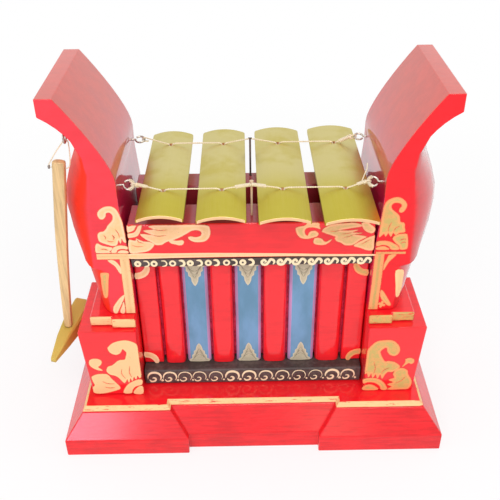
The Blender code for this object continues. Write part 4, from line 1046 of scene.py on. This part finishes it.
class METALLOPHONE_OT_leaves(Piece, Operator):
    """Paints the gold leaves of the wings, the blocks and the front rail"""

    bl_idname = "metallophone.leaves"
    bl_label = "Leaves"

    def execute(self, context):
        rail = low("front_rail")
        for side, sign in SIDES:
            wing = side + "_wing"
            block, front = low(side + "_front_block"), low(wing).y
            inner = sign * low("right_wing").x
            foot = (inner, low(wing).z)
            gold, block_gold, rail_gold, patch_gold = (gold_of(context, kind) for kind in GOLDS[side])
            self.paint(side + "_block", (inner, block.z), block.y, block_gold)
            self.paint(wing, foot, front, gold)
            self.paint(side + "_post", foot, front, gold)
            self.paint(side + "_rail", (sign * high("front_rail").x, rail.z), rail.y, rail_gold)
            sheet = new_sheet()
            for *path, width in STRIPES[wing]:
                line = spline(flat(path, foot), 6)
                add_stroke(sheet, line, width * MM, PAINT * 1.3, taper=0, tone=0.1)
                add_stroke(sheet, line, (width + 0.7) * MM, PAINT * 0.6, taper=0, material=1)
            lay(wing + "_stripes", sheet, front, [post_gold_of(context, side), gold[1]])
            # the flare patch is gold paint, paler on the right as painted light and deeper olive on the left as painted
            # shade
            sheet = new_sheet()
            add_leaf(sheet, flat(FLARE_PATCH[side], foot), rim=2.5 * MM)
            lay(side + "_flare_patch", sheet, front, patch_gold, onto=bpy.data.objects[wing + "_dressed"])
        sheet = new_sheet()
        add_leaf(sheet, flat(RAIL_LINE, (rail.x, rail.z)), rim=1.4 * MM, steps=4)
        lay("rail_line", sheet, rail.y, gold_of(context))
        return {"FINISHED"}

    def paint(self, name, foot, y, gold):
        sheet = new_sheet()
        for index, outline in enumerate(LEAVES[name]):
            add_outlined(sheet, flat(outline, foot), index)
        for *path, width in VEINS.get(name, ()):
            add_stroke(sheet, spline(flat(path, foot), 5), VEIN_SWELL * width * MM, PAINT * 1.8, material=1)
        lay(name + "_leaves", sheet, y, gold)


class METALLOPHONE_OT_bands(Piece, Operator):
    """Paints the small motifs of the black bands, the slats and the panels"""

    bl_idname = "metallophone.bands"
    bl_label = "Bands"

    def execute(self, context):
        chosen = context.scene.metallophone_ornament
        cream = [
            made(gold_paint, "cream_stroke", chosen.cream, tinted(chosen.cream, 0.75)),
            made(charcoal, "charcoal_paint", context.scene.metallophone_case.black),
        ]
        silver = [
            made(gold_paint, "silver_gold", chosen.silver, tinted(chosen.silver, 0.78), mottling=1.4),
            made(outline_paint, "slat_vein", tinted(chosen.silver, 0.35)),
        ]
        self.paint_upper_band(cream)
        self.paint_lower_bar(cream)
        for number in SLATS:
            self.paint_slat("slat_%d" % number, silver)
        for side, sign in SIDES:
            self.paint_panel(side + "_panel", sign, gold_of(context, GOLDS[side][0]))
        return {"FINISHED"}

    def paint_upper_band(self, cream):
        sheet = new_sheet()
        height = middle("upper_band").z
        for index, x in enumerate(BAND_RINGS):
            add_dot(sheet, x * MM, height, 2.2 * MM)
            add_dot(sheet, x * MM, height, (0.6 + 0.2 * (index % 3)) * MM, PAINT * 1.5, material=1)
        for x, width in BAND_COMMAS:
            add_stroke(sheet, spline(flat(COMMA, (x * MM, height)), 4), width * MM, PAINT * 1.2, taper=0.25)
        for index, x in enumerate(BAND_SCROLLS):
            path = spline(flat(SCROLL, (x * MM, height)), 4)
            add_stroke(sheet, path, (1.6 + 0.15 * (index % 2)) * MM, PAINT * 1.2, taper=0.15)
        lay("upper_band_motifs", sheet, low("upper_band").y, cream)

    def paint_lower_bar(self, cream):
        sheet = new_sheet()
        height = low("lower_bar").z + BAR_LEVEL
        for x, width in BAR_MOTIFS:
            foot = (x * MM, height)
            add_stroke(sheet, spline(flat(BAR_ARCH, foot), 4), width * MM, taper=0.35)
            add_stroke(sheet, spline(flat(BAR_CURL, foot), 4), (0.5 + 0.5 * width) * MM, PAINT * 1.2, taper=0.2)
            add_dot(sheet, (x + 5.2) * MM, height - 3 * MM, (0.5 + 0.25 * width) * MM)
        lay("lower_bar_motifs", sheet, low("lower_bar").y, cream)

    def paint_slat(self, slat, silver):
        sheet = new_sheet()
        for half, start, rise in ((SLAT_TOP_LEAF, SLAT_TOP, -1), (SLAT_FOOT_LEAF, low(slat).z + INSET, 1)):
            foot = (middle(slat).x, start)
            whole = [*half, *((-x, z) for x, z in reversed(half[:-1]))]
            add_leaf(sheet, flat(whole, foot), rim=1.1 * MM, steps=2)
            for path in SLAT_VEINS:
                for mirror in (1, -1):
                    vein = flat([(x, rise * z) for x, z in path], foot, mirror)
                    add_stroke(sheet, spline(vein, 3), 0.45 * MM, PAINT * 1.6, material=1)
        lay(slat + "_leaves", sheet, low(slat).y, silver)

    def paint_panel(self, panel, sign, gold):
        sheet = new_sheet()
        for corner, rise in ((low(panel).z + INSET, 1), (PANEL_TOP, -1)):
            curl = [(-sign * x, rise * z) for x, z in PANEL_CURL]
            add_leaf(sheet, flat(curl, (sign * (high("right_panel").x - INSET), corner)), steps=2)
        lay(panel + "_curls", sheet, low(panel).y, gold)


class METALLOPHONE_OT_keys(Piece, Operator):
    """Brushes the four keys and finishes the pegs under them"""

    bl_idname = "metallophone.keys"
    bl_label = "Keys"

    def execute(self, context):
        metal = context.scene.metallophone_metal
        brass = [
            made(brushed_brass, "brushed_brass", metal.brass, metal.worn),
            # the sawn ends' paler brass is a painted highlight
            made(brushed_brass, "cut_brass", metal.cut, metal.cut, cut=True),
        ]
        peg_wood = made(wood, "peg_wood", *PEG_WOOD, turn=ALONG_Y)
        for number in KEYS:
            key = "key_%d" % number
            dressed(key, brass, metal.edge, sort=lambda normal: abs(normal.y) > 0.75, least=50)
            for end in ("front", "back"):
                dressed("%s_%s_peg" % (key, end), peg_wood)
        return {"FINISHED"}


# Cords

EYE_WIRE = 0.65 * MM
EYE_RIM = 68.35 * MM  # from the middle to the inner rim of a ring
RING_MIDDLE = 71.3 * MM
RING_RADIUS = 2.95 * MM
RING_THREAD = 0.3 * MM  # radius of the thread round a ring
PIN_RADIUS = 0.65 * MM
CORD_RADIUS = 0.5 * MM
GAP = 0.3 * MM
PEG_LEVEL = 174.3 * MM
PEG_RADIUS = 0.7 * MM
KEY_THICKNESS = 2 * MM
HOLE_RADIUS = 1.8 * MM
FRONT_ROLL = math.radians(35)
BACK_ROLL = math.radians(15)
CORD_STEP = 0.7 * MM  # between the points of a cord's path
WINDINGS = {
    # by run of the cord: name, from x to x in mm, and the thread's radius
    "front_cord": {
        0: ("left_winding", -66.6, -60.5, 0.36 * MM),
        3: ("pin_winding_left", -9.2, 0.2, 0.42 * MM),
        4: ("pin_winding_right", 0.2, 8.8, 0.42 * MM),
        7: ("right_winding", 61.5, 66.6, 0.36 * MM),
    },
    "back_cord": {7: ("right_winding", 59, 66.4, 0.5 * MM)},
}
LOOSE_START = 64.6 * MM
LOOSE_END = (0, 0, 0), (1.1, 0.7, 3.4), (2.6, 1.8, 7.2), (2.9, 3.2, 10.4)


def eye_level():
    return high("key_1").z + 4.1 * MM


def peg_place(number):
    return middle("key_%d_front_peg" % number).x


def cord_route(y, pin_y, roll):
    """From the left eye through each key, round its peg and up again, past the pin, to the right eye."""
    step = math.radians(30)
    wrap = (EYE_WIRE + CORD_RADIUS + GAP) / math.cos(step / 2)
    normal = Vector((0, -math.sin(roll), math.cos(roll)))
    rim = Vector((-EYE_RIM, y, eye_level()))
    end = [rim + Vector((5 * CORD_RADIUS, 0, 0)) - normal * wrap]
    for i in range(8):
        turn = -math.pi / 2 - i * step
        end.append(rim + Vector((math.cos(turn) * wrap, 0, 0)) + normal * (math.sin(turn) * wrap))
    points = list(end)
    crown = high("key_1").z
    top = crown + CORD_RADIUS + GAP
    strand = HOLE_RADIUS - CORD_RADIUS - GAP
    loop = PEG_RADIUS + CORD_RADIUS + GAP
    sag = [
        (-3.2 * strand, top + 0.25 * CORD_RADIUS),
        (-strand, top - CORD_RADIUS),
        (-strand, crown - KEY_THICKNESS),
        (-loop, PEG_LEVEL),
        (-0.7 * loop, PEG_LEVEL - 0.7 * loop),
    ]
    sag += [(0, PEG_LEVEL - loop)] + [(-x, z) for x, z in reversed(sag)]
    for number in KEYS:
        if number == 3:
            points.append(Vector((middle("front_pin").x, pin_y, eye_level())))
        points += [Vector((peg_place(number) + x, y, z)) for x, z in sag]
    return points + [Vector((-p.x, p.y, p.z)) for p in reversed(end)]


def nearest(path, place):
    return min(range(len(path)), key=lambda i: (path[i] - place).length)


class METALLOPHONE_OT_suspension(Piece, Operator):
    """Twists the two cords, winds their ends, and finishes the eyes and the pins"""

    bl_idname = "metallophone.suspension"
    bl_label = "Suspension"

    def execute(self, context):
        metal = context.scene.metallophone_metal
        wire = made(plated_wire, "plated_wire", metal.wire)
        for side, _ in SIDES:
            for end in ("front", "back"):
                dressed("%s_%s_eye" % (side, end), wire, smooth=60)
        dressed("back_pin", made(plated_wire, "nail_iron", metal.nail), smooth=50)
        dressed("front_pin", made(wood, "pin_wood", *PIN_WOOD), smooth=50)
        y = middle("key_1_back_peg").y
        for side, sign in SIDES:
            self.wind_ring(side, Vector((sign * RING_MIDDLE, -y, eye_level())), sign, cord_of(context))
        beside = PIN_RADIUS + CORD_RADIUS + GAP
        self.string(context, "front_cord", -y, -y - beside, FRONT_ROLL)
        self.string(context, "back_cord", y, y - 0.6 * beside, BACK_ROLL)
        start = Vector((LOOSE_START, -y, eye_level()))
        loose = spline([start + Vector(bend) * MM for bend in LOOSE_END], 6)
        wire_piece("front_cord_loose_end", [loose], 0.65 * CORD_RADIUS, cord_of(context), "case")
        return {"FINISHED"}

    def wind_ring(self, side, centre, sign, thread):
        """Thread wound round the half of a front eye's ring that the cord pulls on."""
        ring = []
        for degrees in range(-80, 81, 10):
            turn = math.radians(degrees)
            back, rise = math.sin(turn) * math.cos(FRONT_ROLL), math.sin(turn) * math.sin(FRONT_ROLL)
            ring.append(centre + Vector((-sign * math.cos(turn), back, rise)) * RING_RADIUS)
        turns = coil(ring, EYE_WIRE + 0.6 * RING_THREAD, 2.6 * RING_THREAD, steps=12)
        wire_piece(side + "_eye_winding", [turns], RING_THREAD, thread, "case")

    def string(self, context, name, y, pin_y, roll):
        """The cord in eight runs, each bent between the case and one key, and its windings."""
        chosen = context.scene.metallophone_cord
        path = evened(cord_route(y, pin_y, roll), CORD_STEP)
        distances = [station[0] for station in along(path)]
        crown, under = high("key_1").z, PEG_LEVEL - PEG_RADIUS - CORD_RADIUS - GAP
        pegs = [peg_place(number) for number in KEYS]
        marks = [0]
        for left, right in zip(pegs, pegs[1:]):
            marks.append(nearest(path, Vector((left, y, under))))
            marks.append(nearest(path, Vector(((left + right) / 2, y, crown + 1 * MM))))
        marks += [nearest(path, Vector((pegs[-1], y, under))), len(path) - 1]
        plies = two_plies(path, chosen.ply * 0.93, chosen.pitch)
        for index, (start, end) in enumerate(zip(marks, marks[1:])):
            number = index // 2 + 1
            side = 1 if index % 2 else -1
            held = path[end if side > 0 else start]
            if index in (0, 7):
                held = Vector((side * EYE_RIM, y, eye_level()))
            entry = Vector((pegs[number - 1] + side * 1.0 * MM, y, crown + 0.8 * MM))
            first, last = (round(distances[at] / distances[-1] * (len(plies[0]) - 1)) for at in (start, end))
            strands = [ply[first : last + 1] for ply in plies]
            threads = [("run_%d" % (index + 1), strands, chosen.ply, () if index else [name])]
            if index in WINDINGS[name]:
                kind, left, right, radius = WINDINGS[name][index]
                lowest = eye_level() - 4.5 * MM
                wound = [point for point in path if left * MM <= point.x <= right * MM and point.z > lowest]
                turns = coil(wound, CORD_RADIUS + 0.7 * radius, 2.05 * radius, steps=12)
                threads.append((kind, [turns], radius, ()))
            for kind, runs, radius, replaces in threads:
                piece = wire_piece("%s_%s" % (name, kind), runs, radius, cord_of(context), None, replaces)
                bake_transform(piece, "case", "key_%d" % number, start=held, end=entry)


# Mallet

HANDLE_HOLE = Vector((-109.17, -32.7, 194.59)) * MM
RING_BOTTOM = Vector((-103.36, -32.7, 210.19)) * MM
MALLET_TILT = math.radians(6.05)
HANDLE_REACH = 3.8 * MM
STRING_RADIUS = 0.4 * MM
STRING_PLY = 0.21 * MM
STRING_STEP = 0.5 * MM  # between the points of its path
KNOT_RADIUS = 1.3 * MM
KNOT_STEPS = 48


def string_route():
    """From the knot through the handle, up to the hook's ring and back down to the knot."""
    across = Vector((math.cos(MALLET_TILT), 0, -math.sin(MALLET_TILT)))
    over = EYE_WIRE + STRING_RADIUS + 2 * GAP
    knot = middle("mallet_string_knot")
    turned = [
        HANDLE_HOLE + across * (HANDLE_REACH + 1.2 * MM),
        HANDLE_HOLE + across * (HANDLE_REACH + 2.6 * MM) + Vector((0, 0, 2.2 * MM)),
        (HANDLE_HOLE + across * HANDLE_REACH + RING_BOTTOM) / 2 + Vector((2.4 * MM, 0, 0)),
    ]
    for i in range(5):
        turn = math.radians(45 * i)
        turned.append(RING_BOTTOM + Vector((math.cos(turn) * over, 0, math.sin(turn) * over)))
    turned.append((knot + RING_BOTTOM) / 2 + Vector((-1, 0, 1)) * MM)
    turned.append(knot + Vector((0, 0, KNOT_RADIUS)))
    return [knot + across * KNOT_RADIUS, HANDLE_HOLE, *spline(turned, 5)]


def trefoil(turn):
    """A point of a trefoil knot in the plane across the handle's hole."""
    x, y = math.sin(turn) + 2 * math.sin(2 * turn), math.cos(turn) - 2 * math.cos(2 * turn)
    return Vector((-math.sin(3 * turn), x, y))


class METALLOPHONE_OT_mallet(Piece, Operator):
    """Finishes the mallet, its hook and the string that it hangs by"""

    bl_idname = "metallophone.mallet"
    bl_label = "Mallet"

    def execute(self, context):
        chosen = context.scene.metallophone_mallet
        handle = made(wood, "handle_wood", chosen.handle, tinted(chosen.handle, 0.66), coat=0.1)
        head = made(wood, "head_wood", chosen.head, tinted(chosen.head, 0.6), turn=ALONG_Y, coat=0.5)
        hook = made(plated_wire, "plated_wire", context.scene.metallophone_metal.wire)
        dressed("mallet_handle", handle, chosen.edge * 0.8, smooth=60, least=50)
        dressed("mallet_head", head, chosen.edge, smooth=50)
        dressed("mallet_hook", hook, smooth=60)
        path = evened(string_route(), STRING_STEP)
        plies = two_plies(path, 0.2 * MM, context.scene.metallophone_cord.pitch * 0.7)
        wire_piece("twisted_string", plies, STRING_PLY, cord_of(context), "mallet_cord", ["mallet_string"])
        knot = middle("mallet_string_knot")
        tied = [knot + trefoil(math.tau * i / KNOT_STEPS) * 0.29 * MM for i in range(KNOT_STEPS + 1)]
        grey = made(cotton, "soiled_cotton", chosen.knot)
        wire_piece("tied_knot", [tied], 0.42 * MM, grey, "mallet_cord", ["mallet_string_knot"])
        return {"FINISHED"}


# Studio

CAMERA_PLACE = Vector((-4.457, -401.611, 383.764)) * MM
CAMERA_DOWN = math.radians(33.874)
CAMERA_YAW = math.radians(0.54)
CAMERA_ROLL = math.radians(-0.567)
CAMERA_LENS = 52.0
CAMERA_SENSOR = 36.0
NEAREST_SEEN = 0.01
FLOOR_HALF = 3.0
FLOOR_WHITE = 0.75  # share of plain white in the floor near the object, where the rest is its shadow
SHADOW_END, WHITE_FROM = 0.2, 0.6  # distances over which the floor goes to plain white
WHITE = (1, 1, 1, 1)
FRONT_BOX = (0.2, -1.15, 1.6), (0, 0, 0.1), 0.9, 0.6  # place, aim, width and height in metres
SOFTBOXES = (  # the same after the name, and then the power in watts and the tint
    ("top_box", (0.1, 0.2, 1.6), (0, 0, 0.1), 1.0, 1.0, 5, (1, 1, 1)),
    ("right_box", (1.5, -0.3, 0.6), (0, 0, 0.12), 0.9, 0.7, 3, (1, 0.93, 0.88)),
    ("left_box", (-1.5, -0.4, 0.6), (0, 0, 0.12), 0.9, 0.7, 3, (1, 1, 1)),
    ("slope_box", (-0.47, -1.27, 0.7), (-0.1, -0.07, 0.02), 0.3, 0.4, 5, (1, 0.74, 0.95)),
    ("glow_box", (0.2, -1.27, 0.66), (0.05, -0.07, 0.02), 0.14, 0.2, 0.25, (1, 0.8, 0.6)),
)


def camera_axes():
    """The camera's right, up and forward directions."""
    yaw, down = CAMERA_YAW, CAMERA_DOWN
    forward = Vector((math.sin(yaw) * math.cos(down), math.cos(yaw) * math.cos(down), -math.sin(down)))
    level = Vector((math.cos(yaw), -math.sin(yaw), 0))
    rise = level.cross(forward)
    turned_right = level * math.cos(CAMERA_ROLL) + rise * math.sin(CAMERA_ROLL)
    turned_up = rise * math.cos(CAMERA_ROLL) - level * math.sin(CAMERA_ROLL)
    return turned_right, turned_up, forward


def add_camera(scene):
    data = bpy.data.cameras.new("photo_camera")
    data.lens = CAMERA_LENS
    data.sensor_width = CAMERA_SENSOR
    data.clip_start = NEAREST_SEEN
    camera = bpy.data.objects.new("photo_camera", data)
    right, up, forward = camera_axes()
    turn = Matrix((right, up, -forward)).transposed().to_4x4()
    camera.matrix_world = Matrix.Translation(CAMERA_PLACE) @ turn
    scene.collection.objects.link(camera)
    scene.camera = camera


def add_softbox(scene, name, place, aim, width, height, power, tint=(1, 1, 1)):
    data = bpy.data.lights.new(name, "AREA")
    data.shape = "RECTANGLE"
    data.size = width
    data.size_y = height
    data.energy = power
    data.color = tint
    lamp = bpy.data.objects.new(name, data)
    direction = Vector(aim) - Vector(place)
    lamp.matrix_world = Matrix.Translation(place) @ direction.to_track_quat("-Z", "Y").to_matrix().to_4x4()
    scene.collection.objects.link(lamp)


def add_white_world(scene):
    """Even white to the camera and in reflections, and a dimmer soft light on the object."""
    scene.world = bpy.data.worlds.new("studio_white")
    nodes = Nodes(scene.world)
    background = nodes.tree.nodes["Background"]
    nodes.feed(background.inputs["Color"], WHITE)
    nodes.feed(background.inputs["Strength"], scene.metallophone_stage.world_light)
    light = Value(nodes, background.outputs[0])
    white = nodes.add("ShaderNodeBackground", {}, {"Color": WHITE, "Strength": 1.0})
    mixed = nodes.add("ShaderNodeMixShader", {}, {0: nodes.seen_rays(), 1: light, 2: white})
    nodes.feed(nodes.tree.nodes["World Output"].inputs["Surface"], mixed)


def floor_finish(colour):
    """A pale floor, lifted to white for the camera and in reflections, with a trace of the object's shadow."""
    floor = Finish("floor_white", roughness=0.9)
    floor.surface(base_color=floor.blend(floor.noise(12, detail=1), colour, tinted(colour, 0.985)))
    matt = Value(floor, floor.shader.outputs[0])
    white = floor.add("ShaderNodeEmission", {}, {"Color": WHITE, "Strength": 1.0})
    away = floor.add("ShaderNodeVectorMath", {"operation": "LENGTH"}, {0: floor.coordinates()}, output="Value")
    share = floor.seen_rays() * (FLOOR_WHITE + (1 - FLOOR_WHITE) * away.between(SHADOW_END, WHITE_FROM))
    mixed = floor.add("ShaderNodeMixShader", {}, {0: share, 1: matt, 2: white})
    floor.feed(floor.tree.nodes["Material Output"].inputs["Surface"], mixed)
    return floor.material


class METALLOPHONE_OT_stage(Piece, Operator):
    """Sets up the floor, the soft lights and the camera"""

    bl_idname = "metallophone.stage"
    bl_label = "Studio"

    def execute(self, context):
        scene = context.scene
        chosen = scene.metallophone_stage
        add_camera(scene)
        add_white_world(scene)
        shape = bmesh.new()
        bmesh.ops.create_grid(shape, x_segments=1, y_segments=1, size=FLOOR_HALF)
        ground = add_piece("floor", shape, floor_finish(chosen.floor), body=None)
        add_softbox(scene, "front_box", *FRONT_BOX, chosen.front_power)
        for box in SOFTBOXES:
            add_softbox(scene, *box)
        scene.view_settings.view_transform = "Standard"
        return {"FINISHED"}


STEPS = (
    METALLOPHONE_OT_stage,
    METALLOPHONE_OT_base,
    METALLOPHONE_OT_sides,
    METALLOPHONE_OT_case,
    METALLOPHONE_OT_grille,
    METALLOPHONE_OT_leaves,
    METALLOPHONE_OT_bands,
    METALLOPHONE_OT_keys,
    METALLOPHONE_OT_suspension,
    METALLOPHONE_OT_mallet,
)


class METALLOPHONE_PT_panel(Panel):
    """Lists the pieces and their settings"""

    bl_idname = "METALLOPHONE_PT_panel"
    bl_label = "Metallophone"
    bl_space_type = "VIEW_3D"
    bl_region_type = "UI"
    bl_category = "Metallophone"

    def draw(self, context):
        for group, settings in GROUPS.items():
            box = self.layout.box()
            for name in settings.__annotations__:
                box.prop(getattr(context.scene, group), name)
        for step in STEPS:
            self.layout.operator(step.bl_idname)


def register():
    for group in GROUPS.values():
        bpy.utils.register_class(group)
    for name, group in GROUPS.items():
        setattr(bpy.types.Scene, name, PointerProperty(type=group))
    for step in (*STEPS, METALLOPHONE_PT_panel):
        bpy.utils.register_class(step)


def unregister():
    for step in reversed((*STEPS, METALLOPHONE_PT_panel)):
        bpy.utils.unregister_class(step)
    for name, group in GROUPS.items():
        delattr(bpy.types.Scene, name)
        bpy.utils.unregister_class(group)


def main():
    register()
    for step in STEPS:
        area, name = step.bl_idname.split(".")
        getattr(getattr(bpy.ops, area), name)()


if __name__ == "__main__":
    main()
